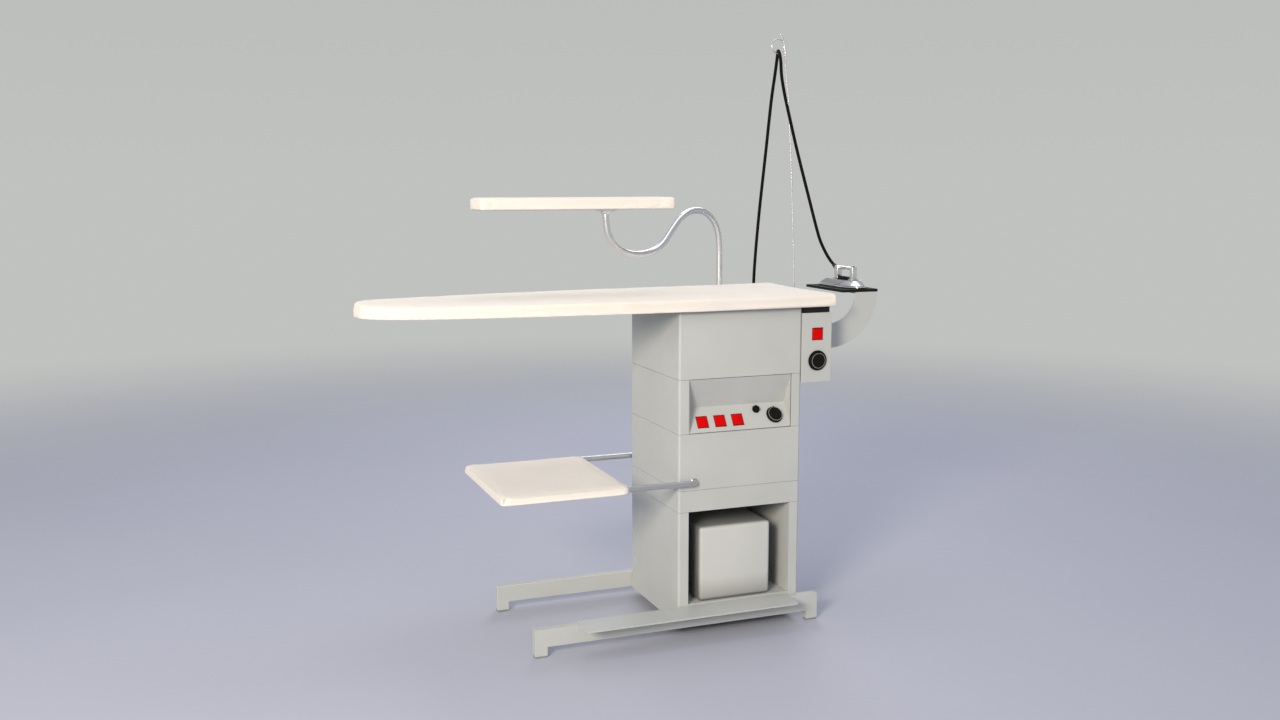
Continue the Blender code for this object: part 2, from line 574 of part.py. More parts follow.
# ---------------------------------------------------------------- side control box and iron rest
def build_control_box():
    low, high = (BOX_LEFT, CAB_FRONT, BOX_BOTTOM), (BOX_RIGHT, BOX_BACK, BOX_TOP)
    shell_box = casing("control_box", low, high, [], corner=0.0)
    x = BOX_CONTROLS_X
    half_x, half_z = ROCKER_WIDTH / 2 + ROCKER_ROOM, ROCKER_HEIGHT / 2 + ROCKER_ROOM
    low = (x - half_x, CAB_FRONT - 0.01, BOX_ROCKER_Z - half_z)
    high = (x + half_x, CAB_FRONT + 0.01, BOX_ROCKER_Z + half_z)
    rocker_hole = box("iron_rocker_hole", low, high, None)
    ends = ((x, CAB_FRONT - 0.01, BOX_DIAL_Z), (x, CAB_FRONT + 0.01, BOX_DIAL_Z))
    dial_hole = rod("dial_hole", *ends, SHAFT_HOLE_R, None, 12)
    ends = ((GLAND_X, BOX_BACK - 0.01, GLAND_Z), (GLAND_X, BOX_BACK + 0.01, GLAND_Z))
    gland_hole = rod("gland_hole", *ends, GLAND_HOLE_R, None, 16)
    low = (BOX_LEFT - 0.01, CAB_FRONT + BOX_PORT_START, BOX_BOTTOM + BOX_PORT_EDGE)
    high = (BOX_LEFT + 0.01, BOX_BACK - BOX_PORT_EDGE, BOX_TOP - BOX_PORT_EDGE)
    wiring_port = box("wiring_port", low, high, None)
    cut(shell_box, rocker_hole, dial_hole, gland_hole, wiring_port)
    rocker("iron_rocker", (x, CAB_FRONT + ROCKER_PIVOT, BOX_ROCKER_Z), UPRIGHT)
    knob("iron_dial", (x, CAB_FRONT, BOX_DIAL_Z), UPRIGHT, 0.0275, KNOB_HEIGHT)
    low = (CAB_RIGHT + 0.0018, CAB_FRONT + 0.002, BOX_TOP + GAP)
    high = (BOX_RIGHT - 0.0065, 0.080, CAB_TOP + GAP)
    casing("control_box_bracket", low, high, [(0, 0, 1)], "black", corner=0.0, wall=0.002)


def build_rest():
    """A curved arm off the control box, the plate it carries and the mat for the iron."""
    foot = BOX_RIGHT + GAP
    outer_z, inner_z = ARC_Z - ARC_OUTER, ARC_Z - ARC_INNER
    outline = arc(ARC_X, ARC_Z, ARC_OUTER, 0, -90, 10) + [(foot, outer_z), (foot, inner_z)]
    outline += arc(ARC_X, ARC_Z, ARC_INNER, -90, 0, 8)
    arm = plate("rest_bracket", [outline], ARC_THICK, "paint", (0, ARC_Y, 0), UPRIGHT)
    low = (ARC_X + ARC_INNER + 0.001, ARC_Y - 0.001, ARC_Z - ARC_THICK)
    top_flange = box("top_flange", low, (ARC_X + ARC_OUTER - 0.001, 0.09, ARC_Z), None)
    high = (foot + ARC_THICK, ARC_Y + 0.045, inner_z - 0.002)
    side_flange = box("side_flange", (foot, ARC_Y - 0.001, outer_z + 0.002), high, None)
    join(arm, top_flange, side_flange)
    outline = rounded(REST_LEFT, REST_RIGHT, REST_FRONT, REST_BACK, 0.004, 2)
    plate_bottom = ARC_Z + GAP
    plate_top = plate_bottom + REST_PLATE
    between(outline, plate_bottom, plate_top, "rest_plate", "black")
    between(outline, plate_top + GAP, REST_TOP, "rest_mat", "rubber")


# ---------------------------------------------------------------- iron
def boat(half, tip, rear, blunt=0.006, count=6):
    """The iron's outline: straight sides, a curved bow at tip and round rear corners."""
    bow, corner = 0.085, 0.020
    side = [(IRON_X + blunt, tip)]
    for i in range(1, count + 1):
        t = i / count
        swell = half * math.sin(t * math.pi / 2) ** 0.8 * t**0.15
        side.append((IRON_X + blunt * (1 - t) + swell, tip + bow * t**1.5))
    side += arc(IRON_X + half - corner, rear - corner, corner, 0, 90, 3)
    return side + [(2 * IRON_X - x, y) for x, y in reversed(side)]


def stacked(name, outline, bottom, steps, finish, at):
    """An outline that rises by steps of (height, scale about at) and closes at the last."""
    bm = bmesh.new()
    face = bm.faces.new([bm.verts.new((x - at.x, y - at.y, bottom - at.z)) for x, y in outline])
    for i, (height, scale) in enumerate(steps):
        lifted = bmesh.ops.extrude_face_region(bm, geom=[face])
        verts = [v for v in lifted["geom"] if isinstance(v, bmesh.types.BMVert)]
        bmesh.ops.translate(bm, vec=(0, 0, height), verts=verts)
        bmesh.ops.scale(bm, vec=(scale, scale, 1), verts=verts)
        if i:
            bmesh.ops.delete(bm, geom=[face], context="FACES_ONLY")
        face = next(f for f in lifted["geom"] if isinstance(f, bmesh.types.BMFace))
    return from_bmesh(name, bm, finish, at)


def iron_block(name, y, half, low_z, high_z, finish, at=(0, 0, 0)):
    """An upright square block on the iron's centreline."""
    return box(name, (IRON_X - half, y - half, low_z), (IRON_X + half, y + half, high_z), finish, at)


def build_iron():
    at = Vector((IRON_X, (IRON_TIP + IRON_REAR) / 2, IRON_FLOOR))
    outline = boat(IRON_HALF, IRON_TIP, IRON_REAR)
    stacked("iron_sole", outline, IRON_FLOOR, [(SOLE_TOP - IRON_FLOOR, 1.0)], "polished", at)
    outline = boat(IRON_HALF - 0.003, IRON_TIP + 0.006, IRON_REAR - 0.003)
    steps = [(BODY_SHOULDER, 0.93), (BODY_CROWN, 0.82)]
    stacked("iron_body", outline, SOLE_TOP + GAP, steps, "polished", at)

    base = SOLE_TOP + GAP + BODY_SHOULDER + BODY_CROWN + GAP
    handle = iron_block("iron_handle", HANDLE_REAR, REAR_POST_HALF, base, HANDLE_TOP, "steel", at)
    front_post = iron_block("front_post", HANDLE_FRONT, FRONT_POST_HALF, base, HANDLE_TOP, None)
    bar_top = HANDLE_TOP - 0.0005
    low = (IRON_X - BAR_HALF, HANDLE_FRONT - 0.002, bar_top - BAR_HEIGHT)
    bar = box("handle_bar", low, (IRON_X + BAR_HALF, HANDLE_REAR + 0.002, bar_top), None)
    ends = ((IRON_X, HANDLE_FRONT, HANDLE_TOP - 0.008), (IRON_X, HANDLE_FRONT, HANDLE_TOP + 0.01))
    join(handle, front_post, bar)
    cut(handle, rod("button_bore", *ends, 0.0048, None, 16))
    low = (IRON_X - GUARD_HALF, HANDLE_FRONT + FRONT_POST_HALF + GUARD_ROOM, base)
    high = (IRON_X + GUARD_HALF, HANDLE_REAR - REAR_POST_HALF - GUARD_ROOM, base + GUARD_HEIGHT)
    box("iron_heat_guard", low, high, "black", at, 0.001)
    button = [(0.0, 0.0020), (0.0040, 0.0020), (0.0045, 0.0014), (0.0045, -0.0045), (0.0, -0.0045)]
    turned("iron_steam_button", button, "black", (IRON_X, HANDLE_FRONT, HANDLE_TOP), 16)

    length, root = HANDLE_GLAND_LENGTH, HANDLE_GLAND_ROOT
    boot = [(0.0, length), (0.0052, length), (0.0068, root), (0.0, root)]
    turn = HANDLE_GLAND_DIRECTION.to_track_quat("Z", "Y").to_euler()
    gland = turned("iron_hose_boot", boot, "rubber", HANDLE_GLAND_START, 12, turn)
    rear_face = HANDLE_REAR + REAR_POST_HALF + GAP
    low = (IRON_X - 0.03, HANDLE_REAR - 0.02, HANDLE_TOP - 0.04)
    cut(gland, box("post_side", low, (IRON_X + 0.03, rear_face, HANDLE_TOP + 0.02), None))


# ---------------------------------------------------------------- worktop
def board_outline(inset=0.0, count=14):
    """Straight at the square end, narrowing along a curve to a blunt nose."""
    half, nose, end = BOARD_HALF - inset, BOARD_NOSE + inset, BOARD_END - inset
    reach = BOARD_STRAIGHT_FROM - nose
    back = arc(end - BOARD_CORNER, BOARD_Y + half - BOARD_CORNER, BOARD_CORNER, 0, 90, 3)
    for i in range(count):
        t = math.sin(math.pi / 2 * i / count)
        width = half * (1 - t**NOSE_TAPER) ** (1 / NOSE_BLUNT)
        back.append((BOARD_STRAIGHT_FROM - reach * t, BOARD_Y + width))
    front = [(x, 2 * BOARD_Y - y) for x, y in reversed(back)]
    return back + [(nose, BOARD_Y)] + front


def between(loop, bottom, top, name, finish, holes=()):
    """A flat piece between two heights."""
    return plate(name, [loop, *holes], top - bottom, finish, (0, 0, (bottom + top) / 2))


def build_worktop():
    cover = between(board_outline(), BOARD_BOTTOM, BOARD_TOP, "board_cover", "cream")
    pocket = between(board_outline(BOARD_RIM), BOARD_BOTTOM - 0.01, MESH_TOP + GAP, "board_pocket", None)
    cut(cover, pocket)
    inset = BOARD_RIM + GAP
    tray = between(board_outline(inset), BOARD_BOTTOM, MESH_TOP - SHEET - GAP, "board_tray", "steel")
    inside = board_outline(inset + SHEET)
    hollow = between(inside, BOARD_BOTTOM + SHEET, MESH_TOP + 0.01, "tray_hollow", None)
    ends = ((FAN_X, FAN_Y, BOARD_BOTTOM - 0.02), (FAN_X, FAN_Y, BOARD_BOTTOM + 0.02))
    cut(tray, hollow, rod("suction_hole", *ends, DUCT_R + 0.001, None, 24))
    columns, rows, pitch, row_pitch = 10, 3, 0.100, 0.085
    holes = [
        circle(-0.45 + pitch * i, BOARD_Y + row_pitch * (j - 1), 0.012, 8)
        for i in range(columns) for j in range(rows)
    ]
    between(board_outline(inset), MESH_TOP - SHEET, MESH_TOP, "board_mesh_plate", "steel", holes)


# ---------------------------------------------------------------- fan, boiler and pump
def ring_profile(inner, outer, bottom, top):
    """A closed square ring, clockwise from its inner top edge."""
    return [(inner, top), (outer, top), (outer, bottom), (inner, bottom), (inner, top)]


def build_fan():
    duct = ring_profile(DUCT_R - FAN_SHEET, DUCT_R, FAN_ROOF + 0.0005, DUCT_TOP)
    turned("suction_duct", duct, "steel", (FAN_X, FAN_Y, 0), 24)
    inner, shaft_hole = FAN_R - FAN_SHEET, SHAFT_R + 0.0045
    floor, roof = FAN_FLOOR + FAN_SHEET, FAN_ROOF - FAN_SHEET
    housing = [
        (FAN_EYE_R, FAN_ROOF), (FAN_R, FAN_ROOF), (FAN_R, FAN_FLOOR), (shaft_hole, FAN_FLOOR),
        (shaft_hole, floor), (inner, floor), (inner, roof), (FAN_EYE_R, roof), (FAN_EYE_R, FAN_ROOF),
    ]
    volute = turned("fan_housing", housing, "steel", (FAN_X, FAN_Y, 0), 24)
    low = (FAN_X - 0.055, FAN_Y + 0.06, floor + 0.004)
    cut(volute, box("fan_outlet", low, (FAN_X + 0.055, FAN_Y + 0.14, roof - 0.004), None))
    blades, points = 8, []
    for i in range(blades):
        angle = 2 * math.pi * i / blades
        out = Vector((math.cos(angle), math.sin(angle)))
        side = Vector((-out.y, out.x)) * BLADE_HALF
        root, tip = out * HUB_R, out * BLADE_REACH
        points += [root - side, tip - side, tip + side, root + side]
        between_blades = angle + math.pi / blades
        points.append(HUB_R * Vector((math.cos(between_blades), math.sin(between_blades))))
    bore = circle(0, 0, SHAFT_R + GAP, 12)
    plate("fan_impeller", [points, bore], IMPELLER_HEIGHT, "steel", (FAN_X, FAN_Y, IMPELLER_Z))
    shaft_top, top, chamfer = IMPELLER_Z + 0.016, FAN_FLOOR - 0.0005, 0.005
    motor = [
        (0.0, shaft_top), (SHAFT_R, shaft_top), (SHAFT_R, top), (MOTOR_R - 0.006, top),
        (MOTOR_R, top - chamfer), (MOTOR_R, MOTOR_BOTTOM + chamfer), (MOTOR_R - 0.006, MOTOR_BOTTOM),
        (0.0, MOTOR_BOTTOM),
    ]
    turned("fan_motor", motor, "motor", (FAN_X, FAN_Y, 0), 24)


def build_boiler():
    """A dished copper-alloy tank on its side, its heater, the steam valve and the feed pump."""
    r, wall, length, mouth = BOILER_R, 0.0025, 0.254, 0.030
    shape = [
        (mouth, 0.0), (r - 0.012, 0.0), (r - 0.003, -0.006), (r, -0.018), (r, 0.022 - length),
        (r - 0.004, 0.009 - length), (r - 0.018, 0.002 - length), (0.0, -length), (0.0, wall - length),
        (r - 0.019, 0.002 + wall - length), (r - 0.004 - wall, 0.011 - length), (r - wall, 0.022 - length),
        (r - wall, -0.018), (r - 0.003 - wall, -0.008), (r - 0.013, -wall), (mouth, -wall), (mouth, 0.0),
    ]
    face_left = (0.0, -math.pi / 2, 0.0)
    at = (BOILER_LEFT, BOILER_AXIS_Y, BOILER_AXIS_Z)
    turned("boiler_tank", shape, "brass", at, 24, face_left)
    flange_r, flange_thick, hub_r, hub_top = 0.040, 0.0043, 0.012, 0.022
    flange = [
        (0.0, hub_top), (hub_r, hub_top), (hub_r, flange_thick), (flange_r, flange_thick),
        (flange_r, GAP), (0.0, GAP),
    ]
    heater = turned("boiler_heater", flange, "steel", at, 20, face_left)
    depth, leg, drop = 0.190, 0.014, 0.010
    bend = [(depth + leg * math.sin(a), leg * math.cos(a)) for a in (i * math.pi / 6 for i in range(7))]
    line = [(-0.001, leg), *bend, (-0.001, -leg)]
    route = [(BOILER_LEFT + dx, BOILER_AXIS_Y + dy, BOILER_AXIS_Z - drop) for dx, dy in line]
    join(heater, as_mesh(tube("heater_loop", route, 0.004, None, resolution=1)))
    crown = BOILER_AXIS_Z + BOILER_R + 0.0025
    low = (VALVE_X - 0.0225, VALVE_Y - 0.0175, crown)
    high = (VALVE_X + 0.0225, VALVE_Y + 0.0175, crown + 0.030)
    body = box("solenoid_valve", low, high, "brass", edge=0.002)
    ends = ((VALVE_X, VALVE_Y, crown + 0.0275), (VALVE_X, VALVE_Y, crown + 0.0725))
    join(body, rod("valve_coil", *ends, 0.016, None, 16))
    floor = BAY_TOP + SHEET + GAP
    axis_z, head_left = floor + 0.026, PUMP_LEFT + 0.085
    ends = ((PUMP_LEFT, PUMP_Y, axis_z), (PUMP_LEFT + 0.115, PUMP_Y, axis_z))
    pump = rod("feed_pump", *ends, PUMP_R, "motor")
    low = (head_left, PUMP_Y - 0.030, floor)
    join(pump, box("pump_head", low, (head_left + 0.050, PUMP_Y + 0.030, floor + 0.052), None))


# ---------------------------------------------------------------- sleeve arm
def sleeve_outline(inset):
    front, back = SLEEVE_Y - SLEEVE_HALF + inset, SLEEVE_Y + SLEEVE_HALF - inset
    return rounded(SLEEVE_LEFT + inset, SLEEVE_RIGHT - inset, front, back, SLEEVE_CORNER - inset * 0.9, 3)


def build_sleeve_arm():
    """The post, its swan neck towards the sleeve board, and the board."""
    post = Vector((POST_X, POST_Y, 0))
    reach = Vector((-0.060, SLEEVE_Y, 0)) - post
    end, along = reach.length, reach.normalized()
    tip = SLEEVE_BOTTOM - GAP
    line = [
        (end, tip), (end, 1.098), (end - 0.011, 1.058), (end - 0.042, 1.024), (end - 0.090, 1.006),
        (end - 0.142, 1.0015), (end - 0.196, 1.009), (end - 0.240, 1.031), (end - 0.276, 1.064),
        (end - 0.312, 1.095), (end - 0.350, 1.1115), (end - 0.393, 1.1150), (end - 0.432, 1.106),
        (end - 0.466, 1.083), (end - 0.487, 1.049), (end - 0.4935, 1.010), (0, 0.965), (0, 0.900),
        (0, 0.704),
    ]
    bend = smooth([(s, z, 0) for s, z in line], 0.022)
    route = [post + along * p.x + Vector((0, 0, p.y)) for p in bend]
    arm = as_mesh(tube("arm_tube", route, ARM_R, "steel", post, 3))
    ends = (post + Vector((0, 0, SOCKET_TOP + 0.0005)), post + Vector((0, 0, SOCKET_TOP + 0.010)))
    join(arm, rod("arm_collar", *ends, 0.0145, None))
    low = (POST_X - 0.017, CAB_BACK + GAP, SOCKET_BOTTOM)
    socket = box("arm_socket", low, (POST_X + 0.017, POST_Y + 0.0155, SOCKET_TOP), "paint", edge=0.003)
    ends = (post + Vector((0, 0, SOCKET_BOTTOM - 0.02)), post + Vector((0, 0, SOCKET_TOP + 0.02)))
    cut(socket, rod("post_bore", *ends, ARM_R + GAP, None))
    rim, thick = 0.006, 0.003
    cover = between(sleeve_outline(0.0), SLEEVE_BOTTOM, SLEEVE_TOP, "sleeve_board_cover", "cream")
    pocket_top = SLEEVE_BOTTOM + thick + GAP
    cut(cover, between(sleeve_outline(rim), SLEEVE_BOTTOM - 0.01, pocket_top, "sleeve_pocket", None))
    outline = sleeve_outline(rim + GAP)
    between(outline, SLEEVE_BOTTOM, SLEEVE_BOTTOM + thick, "sleeve_board_plate", "steel")


# ---------------------------------------------------------------- linen tray
def tray_outline(inset):
    left, right = TRAY_LEFT + inset, TRAY_RIGHT - inset
    return rounded(left, right, TRAY_FRONT + inset, TRAY_BACK - inset, TRAY_CORNER - inset, 3)


def build_tray():
    axis = Vector((TRAY_AXIS_X, 0, TRAY_AXIS_Z))
    bores = []
    faces = (("tray_tube_front", CAB_FRONT, -1), ("tray_tube_rear", CAB_BACK, 1))
    for name, face, out in faces:
        y = face + out * TRAY_TUBE_OFFSET
        elbow = arc(axis.x - TRAY_BEND, 0.0, TRAY_BEND, 0, 90, 4)
        turn = [(x, y + out * (across - TRAY_BEND), axis.z) for x, across in elbow]
        route = [(axis.x, face - out * 0.012, axis.z), *turn, (TRAY_LEFT + 0.060, y, axis.z)]
        tube(name, route, TRAY_TUBE_R, "steel", (axis.x, y, axis.z), 3)
        start = (TRAY_LEFT + 0.058, y, axis.z)
        bores.append(rod(name + "_bore", start, (TRAY_RIGHT + 0.02, y, axis.z), TRAY_TUBE_R + GAP, None, 20))
    wrap, core_top = 0.003, TRAY_TOP - 0.002
    cover = between(tray_outline(0.0), TRAY_BOTTOM, TRAY_TOP, "tray_cover", "cream")
    cut(cover, between(tray_outline(wrap), TRAY_BOTTOM - 0.01, core_top, "tray_pocket", None), *bores)
    cut(between(tray_outline(wrap + GAP), TRAY_BOTTOM, core_top - GAP, "tray_board", "white"), *bores)


# ---------------------------------------------------------------- pole, hose and tank
def build_pole():
    y = POLE_Y
    line = [
        (POLE_FOOT_X, y, 0.730), (POLE_FOOT_X, y, 0.840), (0.5455, y, 0.900), (0.5401, y, 1.0255),
        (0.5290, y, 1.250), (0.5177, y, 1.414), (0.5095, y, 1.490), (0.5048, y, 1.550),
        (0.5020, y, 1.575), (0.4975, y, 1.592), (0.4899, y, 1.604),
    ]
    pole = as_mesh(tube("hose_pole", smooth(line, 0.03), POLE_R, "steel"))
    points = [(x, y, z) for x, z in circle(RING_X, RING_Z, RING_R, 24)]
    ring = as_mesh(closed_tube("pole_ring", points, RING_WIRE_R))
    join(pole, ring)
    low, high = (BOX_RIGHT + GAP, y - 0.012, 0.740), (POLE_FOOT_X + 0.008, y + 0.012, 0.800)
    socket = box("pole_socket", low, high, "black", edge=0.001)
    cut(socket, rod("pole_bore", (POLE_FOOT_X, y, 0.72), (POLE_FOOT_X, y, 0.85), POLE_R + GAP, None, 12))


def closed_tube(name, points, radius):
    """A ring of round bar, as a cutter or a piece to join."""
    obj = tube(name, points, radius, None, resolution=1)
    obj.data.splines[0].use_cyclic_u = True
    return obj


def build_hose():
    tube("iron_hose", smooth(HOSE_ROUTE, 0.024), HOSE_R, "rubber")
    bottom = BOX_BACK - 0.006
    profile = [
        (0.0, 0.0365), (0.0062, 0.0365), (0.0075, 0.0100), (0.0140, 0.0090), (0.0140, 0.0063),
        (0.0080, 0.0063), (0.0080, 0.0), (0.0, 0.0),
    ]
    turned("hose_gland", profile, "black", (GLAND_X, bottom, GLAND_Z), 16, (-math.pi / 2, 0, 0))


def build_tank():
    low = Vector((TANK_LEFT, TANK_FRONT, TANK_BOTTOM))
    high = Vector((TANK_RIGHT, TANK_BACK, TANK_TOP))
    tank = box("water_tank", low, high, "white", edge=TANK_ROUND, segments=3)
    wall = Vector((TANK_WALL, TANK_WALL, TANK_WALL))
    inside = box("tank_inside", low + wall, high - wall, None, edge=TANK_ROUND - TANK_WALL, segments=3)
    ends = ((CAP_X, CAP_Y, TANK_TOP - 0.02), (CAP_X, CAP_Y, TANK_TOP + 0.02))
    cut(tank, inside, rod("tank_neck", *ends, 0.020, None))
    cap = [
        (0.0, 0.012), (0.0245, 0.012), (0.026, 0.0105), (0.026, GAP), (0.0195, GAP),
        (0.0195, -0.006), (0.0, -0.006),
    ]
    turned("tank_cap", cap, "grey_rubber", (CAP_X, CAP_Y, TANK_TOP), 20)


build_frame()
build_pedal()
build_cabinet()
build_control_panel()
build_controls()
build_control_box()
build_rest()
build_iron()
build_worktop()
build_fan()
build_boiler()
build_sleeve_arm()
build_tray()
build_pole()
build_hose()
build_tank()
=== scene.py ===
"""Looks of an industrial ironing station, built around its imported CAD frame.

Row frame: metres, +Z up, floor at z = 0. +X runs along the board from its nose to its square end and
+Y to the back. Places come from the frame's boxes and joints.
"""

import json
import math

import bmesh
import bpy
import numpy as np
from mathutils import Matrix, Vector
from mathutils.bvhtree import BVHTree


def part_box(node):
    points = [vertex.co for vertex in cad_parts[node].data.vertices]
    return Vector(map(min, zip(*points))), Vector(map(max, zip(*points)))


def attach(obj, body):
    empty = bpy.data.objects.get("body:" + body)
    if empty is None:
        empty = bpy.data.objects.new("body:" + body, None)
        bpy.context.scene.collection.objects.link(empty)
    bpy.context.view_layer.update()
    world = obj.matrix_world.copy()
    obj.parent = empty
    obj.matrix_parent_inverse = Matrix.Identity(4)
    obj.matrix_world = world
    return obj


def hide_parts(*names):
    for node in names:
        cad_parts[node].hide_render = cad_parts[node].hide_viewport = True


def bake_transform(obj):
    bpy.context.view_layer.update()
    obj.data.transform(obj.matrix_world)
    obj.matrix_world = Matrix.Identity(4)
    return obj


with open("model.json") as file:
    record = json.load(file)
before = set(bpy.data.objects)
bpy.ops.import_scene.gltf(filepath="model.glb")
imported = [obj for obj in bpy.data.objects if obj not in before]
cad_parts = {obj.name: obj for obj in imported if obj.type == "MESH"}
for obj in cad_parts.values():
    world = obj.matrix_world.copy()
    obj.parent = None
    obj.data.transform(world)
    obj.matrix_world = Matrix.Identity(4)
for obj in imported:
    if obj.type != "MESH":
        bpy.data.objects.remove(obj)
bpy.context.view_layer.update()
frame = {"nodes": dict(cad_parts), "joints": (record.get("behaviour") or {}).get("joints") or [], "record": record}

CAMERA_PLACE = (-1.172, -3.092, 1.203)
CAMERA_DOWN, CAMERA_SIDE = 8.25, 21.29  # degrees below the horizon, and to the right of +Y
CAMERA_LENS, CAMERA_SENSOR = 35.0, 36.0
FLOOR_RADIUS, FADE_START, FADE_END = 9.0, 2.2, 6.5
WELD = 1e-7                      # points nearer than this are one point

SCENE = bpy.context.scene
NODES, RECORD = frame["nodes"], frame["record"]
BODY_OF = {node: body for body, nodes in RECORD["behaviour"]["bodies"].items() for node in nodes}
JOINTS = {joint["name"]: joint for joint in frame["joints"]}
ROOT = "station"
X_AXIS, Y_AXIS, Z_AXIS = Vector((1, 0, 0)), Vector((0, 1, 0)), Vector((0, 0, 1))
TURN = 2 * math.pi


# ---------------------------------------------------------------- camera, light and floor
def build_camera():
    data = bpy.data.cameras.new("camera")
    data.lens, data.sensor_width = CAMERA_LENS, CAMERA_SENSOR
    camera = bpy.data.objects.new("camera", data)
    camera.location = CAMERA_PLACE
    camera.rotation_euler = (math.radians(90 - CAMERA_DOWN), 0.0, math.radians(-CAMERA_SIDE))
    SCENE.collection.objects.link(camera)
    SCENE.camera = camera


def area_light(name, place, target, size, watts, colour):
    """A round soft light at place that faces target."""
    data = bpy.data.lights.new(name, "AREA")
    data.shape, data.size, data.energy, data.color = "DISK", size, watts, colour
    light = bpy.data.objects.new(name, data)
    light.location = place
    light.rotation_euler = (Vector(target) - Vector(place)).to_track_quat("-Z", "Y").to_euler()
    SCENE.collection.objects.link(light)
    return data


def build_light():
    """A studio that is pale at the horizon, a warm key light at the left and two weak ones."""
    SCENE.view_settings.view_transform = "Standard"
    world = bpy.data.worlds.new("studio")
    SCENE.world = world
    world.use_nodes = True
    tree = world.node_tree
    background = tree.nodes["Background"]
    direction = tree.nodes.new("ShaderNodeSeparateXYZ")
    tree.links.new(tree.nodes.new("ShaderNodeTexCoord").outputs["Generated"], direction.inputs[0])
    ramp = tree.nodes.new("ShaderNodeValToRGB")
    tree.links.new(direction.outputs["Z"], ramp.inputs["Fac"])
    tree.links.new(ramp.outputs["Color"], background.inputs["Color"])
    stops = ramp.color_ramp.elements
    stops[0].position, stops[0].color = 0.0, (0.53, 0.54, 0.525, 1)
    stops[1].position, stops[1].color = 1.0, (0.63, 0.635, 0.72, 1)
    for height, colour in ((0.18, (0.50, 0.51, 0.50, 1)), (0.38, (0.30, 0.31, 0.32, 1))):
        stops.new(height).color = colour
    area_light("key", (-3.3, -3.7, 2.3), (0.1, 0, 0.7), 1.5, 238, (1.0, 0.905, 0.735))
    area_light("back", (1.5, 3.2, 2.8), (0.1, 0, 0.9), 2.0, 30, (1.0, 1.0, 1.0))
    above = area_light("above", (0.45, 0.2, 3.35), (0.45, 0.19, 0.93), 3.0, 13, (1.0, 1.0, 1.0))
    above.shape, above.size_y = "RECTANGLE", 1.2


def build_floor():
    """A pale disc that fades out into the studio's light."""
    bm = bmesh.new()
    bmesh.ops.create_circle(bm, cap_ends=True, segments=96, radius=FLOOR_RADIUS)
    floor = new_object("floor", bm)
    paint = Shader("floor_finish")
    colour = paint.blend(paint.noise(1.3, 2), (0.46, 0.478, 0.58, 1), (0.49, 0.508, 0.61, 1))
    paint.set(Base_Color=colour, Roughness=paint.between(paint.noise(40, 3), 0.62, 0.72))
    tree = paint.tree
    distance = paint.node("ShaderNodeVectorMath", operation="LENGTH")
    tree.links.new(paint.place, distance.inputs[0])
    fade = paint.node("ShaderNodeMapRange", interpolation_type="SMOOTHSTEP")
    fade.inputs["From Min"].default_value = FADE_START
    fade.inputs["From Max"].default_value = FADE_END
    tree.links.new(distance.outputs["Value"], fade.inputs["Value"])
    mixed = paint.node("ShaderNodeMixShader")
    tree.links.new(fade.outputs["Result"], mixed.inputs["Fac"])
    tree.links.new(paint.surface.outputs[0], mixed.inputs[1])
    tree.links.new(paint.node("ShaderNodeBsdfTransparent").outputs[0], mixed.inputs[2])
    tree.links.new(mixed.outputs[0], tree.nodes["Material Output"].inputs["Surface"])
    floor.data.materials.append(paint.material)


